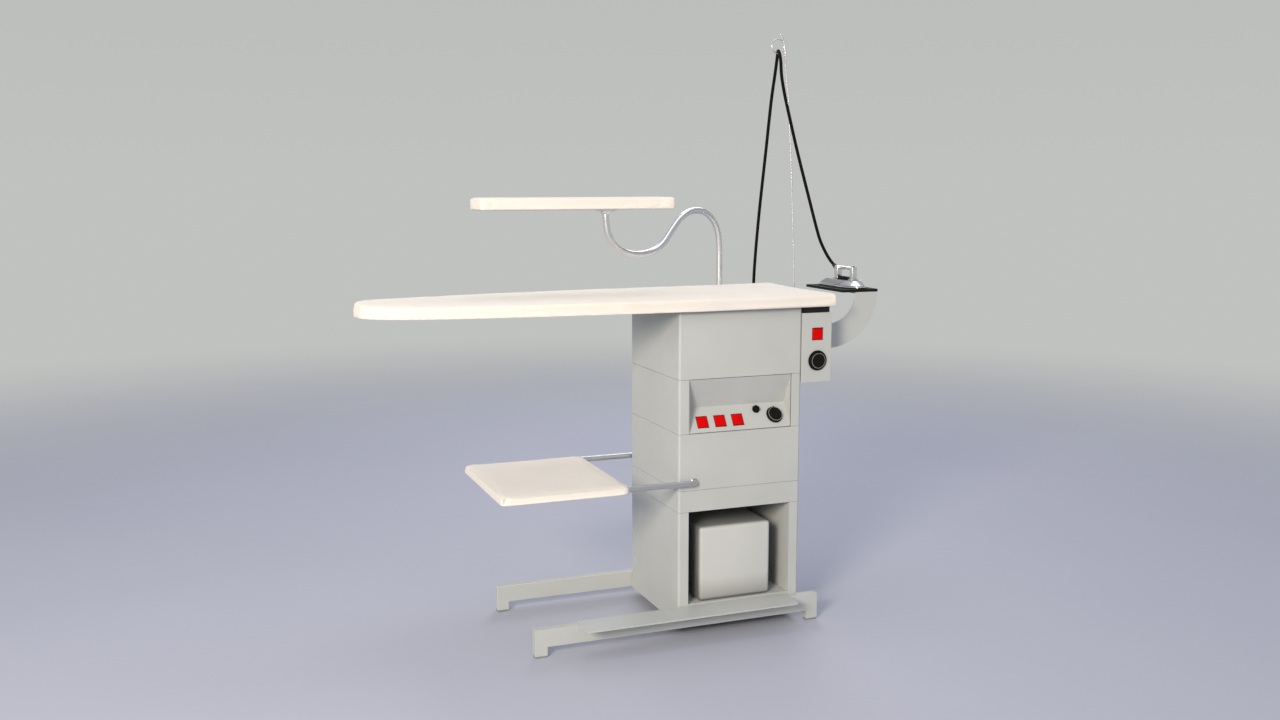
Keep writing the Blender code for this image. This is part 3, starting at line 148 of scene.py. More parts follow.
# ---------------------------------------------------------------- materials
class Shader:
    """Writes a node material. Its place is the row frame, so patterns keep their real scale."""

    def __init__(self, name):
        self.material = bpy.data.materials.new(name)
        self.material.use_nodes = True
        self.tree = self.material.node_tree
        self.surface = self.tree.nodes["Principled BSDF"]
        self.place = self.node("ShaderNodeTexCoord").outputs["Object"]

    def node(self, kind, **settings):
        made = self.tree.nodes.new(kind)
        for key, value in settings.items():
            setattr(made, key, value)
        return made

    def plug(self, socket, value):
        if isinstance(value, bpy.types.NodeSocket):
            self.tree.links.new(value, socket)
        else:
            socket.default_value = value

    def along_uv(self, scale):
        """Coordinates along a swept piece: its length, then its turn."""
        return self.scaled(self.node("ShaderNodeTexCoord").outputs["UV"], scale)

    def scaled(self, vector, scale):
        mapping = self.node("ShaderNodeMapping")
        self.plug(mapping.inputs["Vector"], vector)
        mapping.inputs["Scale"].default_value = scale
        return mapping.outputs[0]

    def noise(self, scale, detail=3.0, stretch=None, roughness=0.5):
        made = self.node("ShaderNodeTexNoise")
        self.plug(made.inputs["Vector"], self.scaled(self.place, stretch) if stretch else self.place)
        made.inputs["Scale"].default_value = scale
        made.inputs["Detail"].default_value = detail
        made.inputs["Roughness"].default_value = roughness
        return made.outputs["Fac"]

    def waves(self, scale, axis, vector=None):
        """Bands across one axis, about 3.2 times scale of them in a metre."""
        made = self.node("ShaderNodeTexWave", bands_direction=axis)
        self.plug(made.inputs["Vector"], vector or self.place)
        made.inputs["Scale"].default_value = scale
        made.inputs["Distortion"].default_value = 0.0
        return made.outputs["Fac"]

    def between(self, value, low, high, start=0.3, end=0.7):
        """low where value is start or less, high where it is end or more, and even steps between."""
        made = self.node("ShaderNodeMapRange")
        self.plug(made.inputs["Value"], value)
        for name, number in (("From Min", start), ("From Max", end), ("To Min", low), ("To Max", high)):
            made.inputs[name].default_value = number
        return made.outputs["Result"]

    def sum(self, a, b, share=0.5, operation="ADD"):
        """a and share * b, added up or joined by another operation."""
        scaled = self.node("ShaderNodeMath", operation="MULTIPLY")
        self.plug(scaled.inputs[0], b)
        scaled.inputs[1].default_value = share
        made = self.node("ShaderNodeMath", operation=operation)
        self.plug(made.inputs[0], a)
        self.plug(made.inputs[1], scaled.outputs[0])
        return made.outputs[0]

    def blend(self, share, a, b):
        made = self.node("ShaderNodeMix", data_type="RGBA")
        self.plug(made.inputs[0], share)
        self.plug(made.inputs[6], a)
        self.plug(made.inputs[7], b)
        return made.outputs[2]

    def painted_corner_shade(self, colour, reach, darkest):
        """The colour, dimmed where other surfaces stand close: painted shade, drawn from an ambient occlusion
        node.
        """
        hidden = self.node("ShaderNodeAmbientOcclusion", samples=64)
        hidden.inputs["Distance"].default_value = reach
        dim = self.between(hidden.outputs["AO"], darkest, 1.0, 0.25, 0.95)
        grey = self.node("ShaderNodeCombineColor")
        for channel in ("Red", "Green", "Blue"):
            self.plug(grey.inputs[channel], dim)
        made = self.node("ShaderNodeMix", data_type="RGBA", blend_type="MULTIPLY")
        made.inputs[0].default_value = 1.0
        self.plug(made.inputs[6], colour)
        self.plug(made.inputs[7], grey.outputs[0])
        return made.outputs[2]

    def set(self, **inputs):
        for name, value in inputs.items():
            self.plug(self.surface.inputs[name.replace("_", " ")], value)
        return self

    def bump(self, height, depth, strength=1.0):
        made = self.node("ShaderNodeBump")
        made.inputs["Strength"].default_value = strength
        made.inputs["Distance"].default_value = depth
        self.plug(made.inputs["Height"], height)
        self.plug(self.surface.inputs["Normal"], made.outputs[0])
        return self


def shade(colour, factor):
    """A colour with opacity, lighter or darker by factor."""
    return (*(c * factor for c in colour[:3]), 1.0)


def painted(name, colour, gloss=0.42, edge_wear_and_highlight=0.0, corners=0.0):
    """Powder coat: fine orange peel and faint patches. On edges with wear, lighter paint that is a painted
    highlight, and chips down to steel; with corners, painted shade where other surfaces stand close.
    """
    made = Shader(name)
    patches = made.between(made.noise(7.0, 4), 0.0, 1.0)
    base = made.blend(patches, shade(colour, 0.965), shade(colour, 1.03))
    rough = made.between(made.noise(60.0, 3), gloss - 0.05, gloss + 0.07)
    # Lighter paint on the rounded edges is a painted highlight; the chips down to steel in it are wear.
    if edge_wear_and_highlight:
        chips = made.between(made.noise(210.0, 4, roughness=0.65), 0.0, edge_wear_and_highlight, 0.62, 0.66)
        base = made.blend(chips, shade(colour, 1.06), (0.30, 0.30, 0.29, 1))
    # Painted shade where other surfaces stand within corners metres.
    if corners:
        base = made.painted_corner_shade(base, corners, 0.45)
    made.set(Base_Color=base, Roughness=rough, Specular_IOR_Level=0.3)
    return made.bump(made.noise(900.0, 2), 0.00006).material


def cotton(name, colour):
    """Plain-weave cotton: threads both ways, slubs and soft uneven tone."""
    made = Shader(name)
    tone = made.between(made.noise(9.0, 5), 0.0, 1.0)
    slubs = made.noise(130.0, 3, stretch=(1.0, 9.0, 9.0))
    base = made.blend(tone, shade(colour, 0.975), shade(colour, 1.02))
    base = made.blend(made.between(slubs, 0.0, 0.16, 0.5, 0.75), base, shade(colour, 0.86))
    warp, weft = made.waves(190.0, "X"), made.waves(190.0, "Y")
    threads = made.sum(made.sum(warp, weft, 1.0), made.waves(190.0, "Z"), 1.0)
    weave = made.sum(threads, slubs, 1.6)
    made.set(Base_Color=base, Roughness=0.86, Sheen_Weight=0.25, Sheen_Roughness=0.5)
    return made.bump(weave, 0.00018, 0.6).material


def moulded(name, colour, gloss, grain=0.00004, **more):
    """Moulded plastic with a fine spark-eroded grain."""
    made = Shader(name)
    patches = made.between(made.noise(25.0, 3), 0.0, 1.0)
    base = made.blend(patches, shade(colour, 0.94), shade(colour, 1.06))
    rough = made.between(made.noise(90.0, 4), gloss - 0.05, gloss + 0.08)
    made.set(Base_Color=base, Roughness=rough, **more)
    return made.bump(made.noise(1400.0, 2), grain).material


def blown(name, colour, gloss, corners):
    """Smooth blow-moulded plastic: broad, soft changes of tone, no grain, and painted shade where other surfaces
    stand close.
    """
    made = Shader(name)
    soft = made.between(made.noise(7.0, 1), 0.0, 1.0)
    base = made.blend(soft, shade(colour, 0.985), shade(colour, 1.015))
    # Painted shade where other surfaces stand within corners metres.
    made.set(Base_Color=made.painted_corner_shade(base, corners, 0.25), Roughness=gloss)
    return made.material


def metal(name, colour, rough, brush=(1.0, 1.0, 1.0), scratch=0.00003, tint=0.93):
    """Bare metal with drawn or polished lines along the axis that brush leaves long."""
    made = Shader(name)
    lines = made.noise(260.0, 4, stretch=brush, roughness=0.6)
    cloudy = made.between(made.noise(14.0, 4), 0.0, 1.0)
    base = made.blend(cloudy, shade(colour, tint), shade(colour, 1.0))
    made.set(Base_Color=base, Metallic=1.0, Roughness=made.between(lines, rough - 0.05, rough + 0.09))
    return made.bump(lines, scratch, 0.7).material


def rubber(name, colour, rough=0.78):
    made = Shader(name)
    dusty = made.between(made.noise(30.0, 5), 0.0, 1.0)
    base = made.blend(dusty, shade(colour, 0.85), shade(colour, 1.35))
    made.set(Base_Color=base, Roughness=made.between(made.noise(55.0, 3), rough - 0.08, rough + 0.08))
    return made.bump(made.noise(1100.0, 3), 0.00008).material


def ribbed_rubber(name, colour):
    """Silicone sheet with fine moulded ribs along X."""
    made = Shader(name)
    base = made.blend(made.between(made.noise(30.0, 5), 0.0, 1.0), shade(colour, 0.8), shade(colour, 1.5))
    made.set(Base_Color=base, Roughness=0.7, Specular_IOR_Level=0.2)
    return made.bump(made.waves(50.0, "Y"), 0.0004).material


def braided(name):
    """A woven textile sleeve on the hose: two sets of diagonal strands."""
    made = Shader(name)
    along, around = 150.0, 7.0
    strands = [
        made.waves(1.0, "DIAGONAL", made.along_uv((along, way * around, 1.0))) for way in (1.0, -1.0)
    ]
    weave = made.sum(*strands, 1.0, operation="MAXIMUM")
    fleck = made.between(made.noise(700.0, 2), 0.0, 1.0, 0.55, 0.75)
    base = made.blend(fleck, (0.004, 0.004, 0.0035, 1), (0.016, 0.015, 0.014, 1))
    made.set(Base_Color=base, Roughness=0.8, Specular_IOR_Level=0.12)
    return made.bump(weave, 0.0005, 0.8).material


def build_materials():
    grey, cream = (0.52, 0.54, 0.54), (0.85, 0.80, 0.75)
    return {
        "paint": painted("cabinet_paint", grey),
        # Edge paint: lighter as a painted highlight, with chips down to steel as wear.
        "edge_highlight_and_wear": painted("cabinet_edge_highlight_and_wear", shade(grey, 1.05), 0.38, edge_wear_and_highlight=0.35),
        # A copy of the cabinet paint with painted shade, for the shells under the board.
        "paint_shaded_under_board": painted("upper_cabinet_paint_painted_shade", grey, corners=0.16),
        "black_paint": painted("black_paint", (0.009, 0.009, 0.008), 0.55),
        "cotton": cotton("cotton_cover", cream),
        "red": moulded("red_rocker", (0.66, 0.001, 0.001), 0.42, 0.00002, Specular_IOR_Level=0.07),
        "black": moulded("black_plastic", (0.007, 0.007, 0.006), 0.60, Specular_IOR_Level=0.11),
        # The grey ring on the dials, a painted highlight along the grip's top edge.
        "ring_highlight": moulded("dial_ring_highlight", (0.34, 0.34, 0.32), 0.45),
        # Painted shade within 8 cm of other surfaces, darkening the tank's top and sides in its bay.
        "white": blown("white_polyethylene", (0.585, 0.595, 0.595), 0.30, 0.08),
        "rubber": rubber("black_rubber", (0.010, 0.010, 0.010)),
        "grey_rubber": rubber("grey_rubber", (0.23, 0.23, 0.22)),
        "mat": ribbed_rubber("silicone_mat", (0.008, 0.008, 0.007)),
        "hose": braided("braided_hose"),
        "tube": metal("satin_tube", (0.84, 0.84, 0.84), 0.24, (1.0, 14.0, 14.0)),
        "tray_tube": metal("plated_tube", (0.66, 0.66, 0.67), 0.32, (1.0, 14.0, 14.0)),
        "sheet_steel": metal("galvanised_sheet", (0.55, 0.57, 0.58), 0.40, (1.0, 1.0, 1.0), 0.00006, 0.78),
        "bright": metal("polished_alloy", (0.80, 0.80, 0.81), 0.13, (9.0, 1.0, 9.0), 0.00001, 0.95),
        "satin": metal("satin_alloy", (0.80, 0.80, 0.79), 0.30, (1.0, 1.0, 10.0)),
        "screw": metal("zinc_screw", (0.58, 0.58, 0.56), 0.30, (1.0, 1.0, 1.0), 0.00002, 0.85),
        "brass": metal("brass", (0.72, 0.50, 0.20), 0.32, (1.0, 1.0, 1.0), 0.00004, 0.80),
        "motor": painted("motor_enamel", (0.10, 0.13, 0.18), 0.45),
    }


# ---------------------------------------------------------------- mesh helpers
def new_object(name, bm):
    mesh = bpy.data.meshes.new(name)
    bm.to_mesh(mesh)
    bm.free()
    obj = bpy.data.objects.new(name, mesh)
    SCENE.collection.objects.link(obj)
    return obj


def smoothed(obj, sharper=None):
    """Smooth shading, with edges sharper than an angle in degrees kept sharp."""
    for polygon in obj.data.polygons:
        polygon.use_smooth = True
    if sharper:
        obj.data.set_sharp_from_angle(angle=math.radians(sharper))


def piece(name, bm, finishes, body, stands_for=(), smooth=40.0):
    """A finished piece on its body. finishes fill its material slots in order."""
    obj = new_object(name, bm)
    for finish in finishes:
        obj.data.materials.append(MATERIALS[finish])
    smoothed(obj, smooth)
    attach(obj, body)
    if stands_for:
        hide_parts(*stands_for)
    return obj


def for_node(node, name, bm, finishes, smooth=40.0):
    """A piece that stands for one CAD node, on that node's body, its slots filled with the finishes given."""
    return piece(name, bm, finishes, BODY_OF[node], (node,), smooth)


def merged(*meshes):
    """One bmesh of several, which are freed."""
    whole = bmesh.new()
    for part in meshes:
        mesh = bpy.data.meshes.new("part")
        part.to_mesh(mesh)
        part.free()
        whole.from_mesh(mesh)
        bpy.data.meshes.remove(mesh)
    return whole


def painted_with(bm, index):
    """The same mesh, all in the material slot of that index."""
    for face in bm.faces:
        face.material_index = index
    return bm


def cad_bmesh(node):
    """A CAD node's mesh with its split points joined and its flat faces merged."""
    bm = bmesh.new()
    bm.from_mesh(NODES[node].data)
    bmesh.ops.remove_doubles(bm, verts=bm.verts, dist=0.00001)
    bmesh.ops.dissolve_limit(bm, angle_limit=math.radians(0.5), verts=bm.verts, edges=bm.edges)
    for face in bm.faces:
        face.material_index = 0
    return bm


def round_edges(bm, radius, steps=2, sharper=35.0, edge_index=0):
    """Rounds the edges sharper than an angle in degrees."""
    limit = math.radians(sharper)
    edges = [e for e in bm.edges if e.is_manifold and e.calc_face_angle(0.0) > limit]
    made = bmesh.ops.bevel(
        bm, geom=edges, offset=radius, segments=steps, affect="EDGES", profile=0.5, clamp_overlap=True,
    )
    for face in made["faces"]:
        face.material_index = edge_index
    return bm


def refined(node, finishes, radius):
    """A CAD node's own shape with rounded edges, the second finish on them if there is one."""
    bm = round_edges(cad_bmesh(node), radius, edge_index=len(finishes) - 1)
    obj = for_node(node, node + "_finish", bm, finishes)
    weigh = obj.modifiers.new("Weighted", "WEIGHTED_NORMAL")
    weigh.keep_sharp = True
    return obj


def block(low, high, radius, steps=2):
    """A box between two corners, with rounded edges."""
    low, high = Vector(low), Vector(high)
    bm = bmesh.new()
    bmesh.ops.create_cube(bm, size=1.0)
    bmesh.ops.scale(bm, vec=high - low, verts=bm.verts)
    bmesh.ops.translate(bm, vec=(low + high) / 2, verts=bm.verts)
    bmesh.ops.bevel(bm, geom=bm.edges[:], offset=radius, segments=steps, affect="EDGES", profile=0.5)
    return bm


def skin(rings, caps=True):
    """Faces between closed rings of points. Without caps, a last ring on the first one joins it."""
    bm = bmesh.new()
    rows = [[bm.verts.new(p) for p in ring] for ring in rings]
    count = len(rows[0])
    for a, b in zip(rows, rows[1:]):
        for i in range(count):
            j = (i + 1) % count
            bm.faces.new((a[i], a[j], b[j], b[i]))
    if caps:
        bm.faces.new(reversed(rows[0]))
        bm.faces.new(rows[-1])
    bmesh.ops.recalc_face_normals(bm, faces=bm.faces)
    if not caps:
        bmesh.ops.remove_doubles(bm, verts=bm.verts, dist=WELD)
    return bm


def lathe(profile, place, axis, steps=48, flute=None, caps=True):
    """A turned solid about axis, or a ring when its profile closes and has no caps.

    flute(radius, height, angle) gives a changed radius.
    """
    turn = Vector(axis).to_track_quat("Z", "Y").to_matrix()
    rings = []
    for radius, height in profile:
        ring = []
        for i in range(steps):
            angle = TURN * i / steps
            r = flute(radius, height, angle) if flute else radius
            ring.append(Vector(place) + turn @ Vector((r * math.cos(angle), r * math.sin(angle), height)))
        rings.append(ring)
    return skin(rings, caps)


def smooth_line(points, spacing):
    """A Catmull-Rom curve through points, sampled about every spacing."""
    knots = [Vector(p) for p in points]
    ends = [2 * knots[0] - knots[1], *knots, 2 * knots[-1] - knots[-2]]
    line = []
    for a, b, c, d in zip(ends, ends[1:], ends[2:], ends[3:]):
        steps = max(1, round((c - b).length / spacing))
        square, cube = 2 * a - 5 * b + 4 * c - d, 3 * b - a - 3 * c + d
        for i in range(steps):
            t = i / steps
            line.append(0.5 * (2 * b + (c - a) * t + square * t**2 + cube * t**3))
    return [*line, knots[-1]]


def sweep(route, radius, sides=24, closed=False):
    """A round bar along route. radius may be a function of the share run.

    An open bar has a UV map: the length run in metres, and the share of a turn.
    """
    route = [Vector(p) for p in route]
    count = len(route)
    tangents = []
    for i in range(count):
        before = route[i - 1] if i or closed else route[0]
        after = route[(i + 1) % count] if i < count - 1 or closed else route[-1]
        tangents.append((after - before).normalized())
    across = tangents[0].orthogonal().normalized()
    rings, lengths, run = [], [], 0.0
    for i, (point, tangent) in enumerate(zip(route, tangents)):
        across = (across - tangent * across.dot(tangent)).normalized()
        side = tangent.cross(across)
        r = radius(i / (count - 1)) if callable(radius) else radius
        rings.append([
            point + r * (across * math.cos(TURN * k / sides) + side * math.sin(TURN * k / sides))
            for k in range(sides)
        ])
        run += (point - route[i - 1]).length if i else 0.0
        lengths.append(run)
    if closed:
        return skin([*rings, rings[0]], caps=False)
    bm = skin(rings)
    layer = bm.loops.layers.uv.new("run")
    bm.verts.index_update()
    for face in bm.faces:
        turns = [loop.vert.index % sides for loop in face.loops]
        wraps = max(turns) == sides - 1 and min(turns) == 0
        for loop, k in zip(face.loops, turns):
            share = 1.0 if wraps and k == 0 else k / sides
            loop[layer].uv = (lengths[min(loop.vert.index // sides, count - 1)], share)
    return bm


def placed(bm, origin, right, up, out):
    """Moves a mesh made in its own X, Y and Z onto an origin and three directions."""
    matrix = Matrix((right, up, out)).transposed().to_4x4()
    matrix.translation = origin
    bmesh.ops.transform(bm, matrix=matrix, verts=bm.verts)
    return bm


def screw_head(place, axis, radius=0.0038):
    """A pan head with a cross recess."""
    shares = ((1.0, 0.0), (1.0, 0.30), (0.92, 0.48), (0.70, 0.62), (0.36, 0.68), (0.30, 0.30))
    profile = [(radius * wide, radius * tall) for wide, tall in shares]

    def cross(r, height, angle):
        if r > 0.4 * radius:
            return r
        return r * (1.0 + 0.55 * max(0.0, math.cos(4 * angle)) ** 2)

    return lathe(profile, place, axis, 24, cross)


def screws(name, places, body=ROOT, radius=0.0038):
    """One piece of screw heads, each at a place and facing an axis."""
    return piece(name, merged(*(screw_head(p, a, radius) for p, a in places)), ["screw"], body)


MATERIALS = build_materials()
build_camera()


# ---------------------------------------------------------------- hose
# From its gland on the control box, through the ring on the pole, to the iron's handle.
HOSE_ROUTE = [
    (0.4860, 0.1458, 0.8000), (0.4860, 0.1650, 0.8000), (0.4838, 0.1918, 0.8092),
    (0.4836, 0.2158, 0.8369), (0.4850, 0.2290, 0.8800), (0.4868, 0.2270, 0.9600),
    (0.4926, 0.2150, 1.1030), (0.4982, 0.1890, 1.2790), (0.4992, 0.1610, 1.4230),
    (0.4994, 0.1414, 1.4942), (0.4988, 0.1300, 1.5322), (0.4920, 0.1119, 1.5526),
    (0.4822, 0.0900, 1.5588), (0.4743, 0.0675, 1.5510), (0.4698, 0.0498, 1.5290),
    (0.4698, 0.0432, 1.4879), (0.4805, 0.0472, 1.4447), (0.4947, 0.0510, 1.3980),
    (0.5312, 0.0600, 1.2850), (0.5779, 0.0740, 1.1570), (0.6152, 0.0879, 1.0615),
    (0.6315, 0.0926, 1.0245), (0.6489, 0.0920, 0.9921), (0.6577, 0.0830, 0.9727),
    (0.66197, 0.06889, 0.95983),
]
HOSE_R = 0.0045


def build_hose():
    line = smooth_line(HOSE_ROUTE, 0.007)
    obj = new_object("hose", sweep(line, HOSE_R, 20))
    obj.data.materials.append(MATERIALS["hose"])
    smoothed(obj, 60.0)
    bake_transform(obj)
    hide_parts("iron_hose")


build_hose()
build_light()
build_floor()


# ---------------------------------------------------------------- cabinet
def build_cabinet():
    edge_radius = {
        "band_shell": 0.0006, "boiler_section_shell": 0.0006, "control_section_shell": 0.0006,
        "top_section_shell": 0.0006, "tank_bay_shell": 0.0006, "base_plate": 0.0005,
        "control_box": 0.0007, "rear_service_cover": 0.0006, "arm_socket": 0.0008,
        "rest_bracket": 0.0012, "front_rail": 0.0016, "rear_rail": 0.0016, "foot_pedal": 0.0012,
    }
    for node, radius in edge_radius.items():
        # The shells under the board take the copy of the paint with painted shade.
        face = "paint_shaded_under_board" if node in ("control_section_shell", "top_section_shell") else "paint"
        # The rounded edges take the lighter paint, a painted highlight with wear chips.
        refined(node, [face, "edge_highlight_and_wear"], radius)
    refined("control_panel", ["paint"], 0.0005)
    refined("control_box_bracket", ["black_paint"], 0.0006)
    refined("rest_plate", ["black_paint"], 0.0008)
    for node in NODES:
        if node.startswith("floor_pad"):
            refined(node, ["grey_rubber"], 0.0009)
    build_fixings()


def build_fixings():
    """Screws where the sheet metal is held together, on the sides and the back."""
    back, right = [], []
    inset, edge = 0.020, 0.010
    for node in ("band_shell", "boiler_section_shell", "control_section_shell", "top_section_shell"):
        low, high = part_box(node)
        for z in {low.z + 0.016, high.z - 0.016}:
            back += [((x, high.y, z), Y_AXIS) for x in (low.x + inset, high.x - inset)]
            right += [((high.x, y, z), X_AXIS) for y in (low.y + inset, high.y - inset)]
    low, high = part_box("tank_bay_shell")
    for z in (low.z + 0.085, (low.z + high.z) / 2 + 0.03, high.z - 0.020):
        back += [((x, high.y, z), Y_AXIS) for x in (low.x + edge, high.x - edge)]
    screws("cabinet_screws_back", back)
    screws("cabinet_screws_right", right, radius=0.0032)

    low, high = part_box("rear_service_cover")
    corners = [(x, z) for x in (low.x + edge, high.x - edge) for z in (low.z + edge, high.z - edge)]
    screws("service_cover_screws", [((x, high.y, z), Y_AXIS) for x, z in corners])
    rail_low, rail_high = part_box("rear_rail")
    low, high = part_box("tank_bay_shell")
    bolt_z = (rail_low.z + rail_high.z) / 2 + 0.012
    bolts = [((x, rail_high.y, bolt_z), Y_AXIS) for x in (low.x + inset, high.x - inset)]
    screws("rail_bolts", bolts, radius=0.0055)
    low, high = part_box("control_box")
    corners = [(y, z) for y in (low.y + 0.07, high.y - inset) for z in (low.z + inset, high.z - inset)]
    screws("control_box_screws", [((high.x, y, z), X_AXIS) for y, z in corners], radius=0.003)
    low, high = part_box("pole_socket")
    screws("pole_clamp_screw", [((high.x, (low.y + high.y) / 2, (low.z + high.z) / 2), X_AXIS)])


# ---------------------------------------------------------------- controls
# The sloped panel's own directions.
OUT = Vector(JOINTS["steam_knob_turn"]["axis"]).normalized()
UP = OUT.cross(X_AXIS).normalized()


def rocker(node, joint, up, out):
    """A rocker with a shallow dished face, made about its pivot.

    Its ends lean in towards the face, so that they clear the well when they are pressed.
    """
    half_x, half_y, half_face = 0.015, 0.0155, 0.0147
    top, foot, dish, steps = 0.0105, -0.0035, 0.0011, 8
    face = []
    for i in range(steps + 1):
        y = half_face * (1 - 2 * i / steps)
        face.append((y, top - dish * (1 - (y / half_face) ** 2)))
    section = [(-half_y, foot), (half_y, foot), *face]
    rings = [[(x, y, z) for y, z in section] for x in (-half_x, half_x)]
    bm = round_edges(skin(rings), 0.0009, 3, 50.0)
    placed(bm, Vector(JOINTS[joint]["pos_m"]), X_AXIS, up, out)
    return for_node(node, node + "_cap", bm, ["red"], 30.0)


def rocker_well(name, joint, up, out):
    """The thin black frame that a rocker sits in, just inside its hole. side and end are its walls."""
    half_x, half_y, side, end = 0.01625, 0.01675, 0.0009, 0.0002
    top, low = 0.0083, -0.003
    outer = [(half_x, half_y), (-half_x, half_y), (-half_x, -half_y), (half_x, -half_y)]
    inner = [(x - math.copysign(side, x), y - math.copysign(end, y)) for x, y in outer]
    section = ((inner, low), (outer, low), (outer, top), (inner, top), (inner, low))
    bm = skin([[(x, y, z) for x, y in loop] for loop, z in section], caps=False)
    placed(bm, Vector(JOINTS[joint]["pos_m"]), X_AXIS, up, out)
    return piece(name, bm, ["black"], ROOT)


def knob(node, joint, radius, ring):
    """A skirted knob with a fluted grip and a raised pointer.

    ring is the share of the radius at which its grey ring runs, a painted highlight just inside the grip's top
    edge, or 0 for none.
    """
    at, out = Vector(JOINTS[joint]["pos_m"]), Vector(JOINTS[joint]["axis"]).normalized()
    height, flutes, stem_r = 0.009, 30, 0.0031
    grip = (ring or 0.72) * radius + 0.0010
    skirt = 0.42 * height
    profile = [
        (radius * 0.96, 0.0006), (radius, 0.0014), (radius, skirt - 0.0014),
        (radius * 0.985, skirt - 0.0004), (radius * 0.955, skirt), (grip * 1.03, skirt),
        (grip, skirt + 0.0006), (grip, height - 0.0014), (grip - 0.0004, height - 0.0004),
        (grip - 0.0012, height), (grip * 0.60, height), (grip * 0.56, height - 0.0006),
    ]

    def flute(r, z, angle):
        ribbed = skirt < z < height - 0.0008 and r > 0.9 * grip
        return r * (1.0 - 0.022 * (0.5 + 0.5 * math.cos(flutes * angle))) if ribbed else r

    up = out.cross(X_AXIS).normalized()
    half, tip, crest = max(0.0006, radius * 0.03), radius * 0.985, height + 0.0003
    pointer = [
        block((-half, start, foot), (half, tip, crest), 0.0002, 1)
        for start, foot in ((grip * 0.30, height - 0.0004), (grip * 0.9, 0.001))
    ]
    made = [lathe(profile, at, out, 120, flute), lathe([(stem_r, -0.012), (stem_r, 0.0012)], at, out, 16)]
    made += [placed(shape, at, X_AXIS, up, out) for shape in pointer]
    made = [painted_with(shape, 0) for shape in made]
    # The grey ring is a painted highlight just inside the grip's top edge.
    if ring:
        inside, outside = ring * radius - 0.0007, ring * radius + 0.0003
        sunk, proud = height - 0.0004, height + 0.0002
        section = [(inside, sunk), (outside, sunk), (outside, proud), (inside, proud), (inside, sunk)]
        made.append(painted_with(lathe(section, at, out, 96, caps=False), 1))
    return for_node(node, node + "_turned", merged(*made), ["black", "ring_highlight"], 35.0)


def build_controls():
    rockers = [(name + "_rocker", name + "_hinge", UP, OUT) for name in ("vacuum", "boiler", "pump")]
    rockers.append(("iron_rocker", "iron_switch_hinge", Z_AXIS, -Y_AXIS))
    for node, joint, up, out in rockers:
        rocker(node, joint, up, out)
        rocker_well(node + "_well", joint, up, out)
    knob("steam_knob", "steam_knob_turn", 0.0105, 0.0)
    knob("thermostat_knob", "thermostat_knob_turn", 0.0232, 0.84)
    knob("iron_dial", "iron_dial_turn", 0.0275, 0.73)


# ---------------------------------------------------------------- soft covers
def cover_shape(node, filled):
    """The CAD cover's mesh, or the whole padded board round it when filled."""
    shape = cad_bmesh(node)
    if filled:
        outer = bmesh.ops.convex_hull(shape, input=shape.verts)
        spare = outer["geom_interior"] + outer["geom_unused"]
        spare = [v for v in spare if isinstance(v, bmesh.types.BMVert)]
        bmesh.ops.delete(shape, geom=spare, context="VERTS")
        holes = [f for f in outer["geom_holes"] if isinstance(f, bmesh.types.BMFace) and f.is_valid]
        bmesh.ops.delete(shape, geom=holes, context="FACES_ONLY")
    bmesh.ops.triangulate(shape, faces=shape.faces)
    return shape


def fabric_solid(node, voxel, filled):
    """A remeshed copy of a cover, its outer skin drawn in a little, and which points stay put.

    The points that stay are the underside, the hem and the walls that face inwards.
    """
    inset, hem, lift = 0.0010, 0.003, 0.0008
    shape = cover_shape(node, filled)
    surface = BVHTree.FromBMesh(shape)
    obj = new_object(node + "_sewn", shape)
    remesh = obj.modifiers.new("Remesh", "REMESH")
    remesh.mode, remesh.voxel_size = "VOXEL", voxel
    graph = bpy.context.evaluated_depsgraph_get()
    mesh = bpy.data.meshes.new_from_object(obj.evaluated_get(graph))
    obj.modifiers.clear()
    obj.data = mesh
    bm = bmesh.new()
    bm.from_mesh(mesh)
    bmesh.ops.smooth_vert(bm, verts=bm.verts, factor=0.5, use_axis_x=True, use_axis_y=True, use_axis_z=True)
    bm.normal_update()
    low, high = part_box(node)
    centre = (low + high) / 2
    held = []
    for vert in bm.verts:
        outward = vert.normal.x * (vert.co.x - centre.x) * 0.25 + vert.normal.y * (vert.co.y - centre.y)
        inner_wall = abs(vert.normal.z) < 0.6 and outward < 0
        if vert.normal.z < -0.35 or inner_wall or vert.co.z < low.z + hem:
            held.append(vert.index)
    fixed = set(held)
    for vert in bm.verts:
        vert.co = surface.find_nearest(vert.co)[0]
        if vert.index not in fixed:
            vert.co -= vert.normal * inset
        elif filled:
            vert.co.z += lift
    bm.to_mesh(mesh)
    bm.free()
    return obj, held


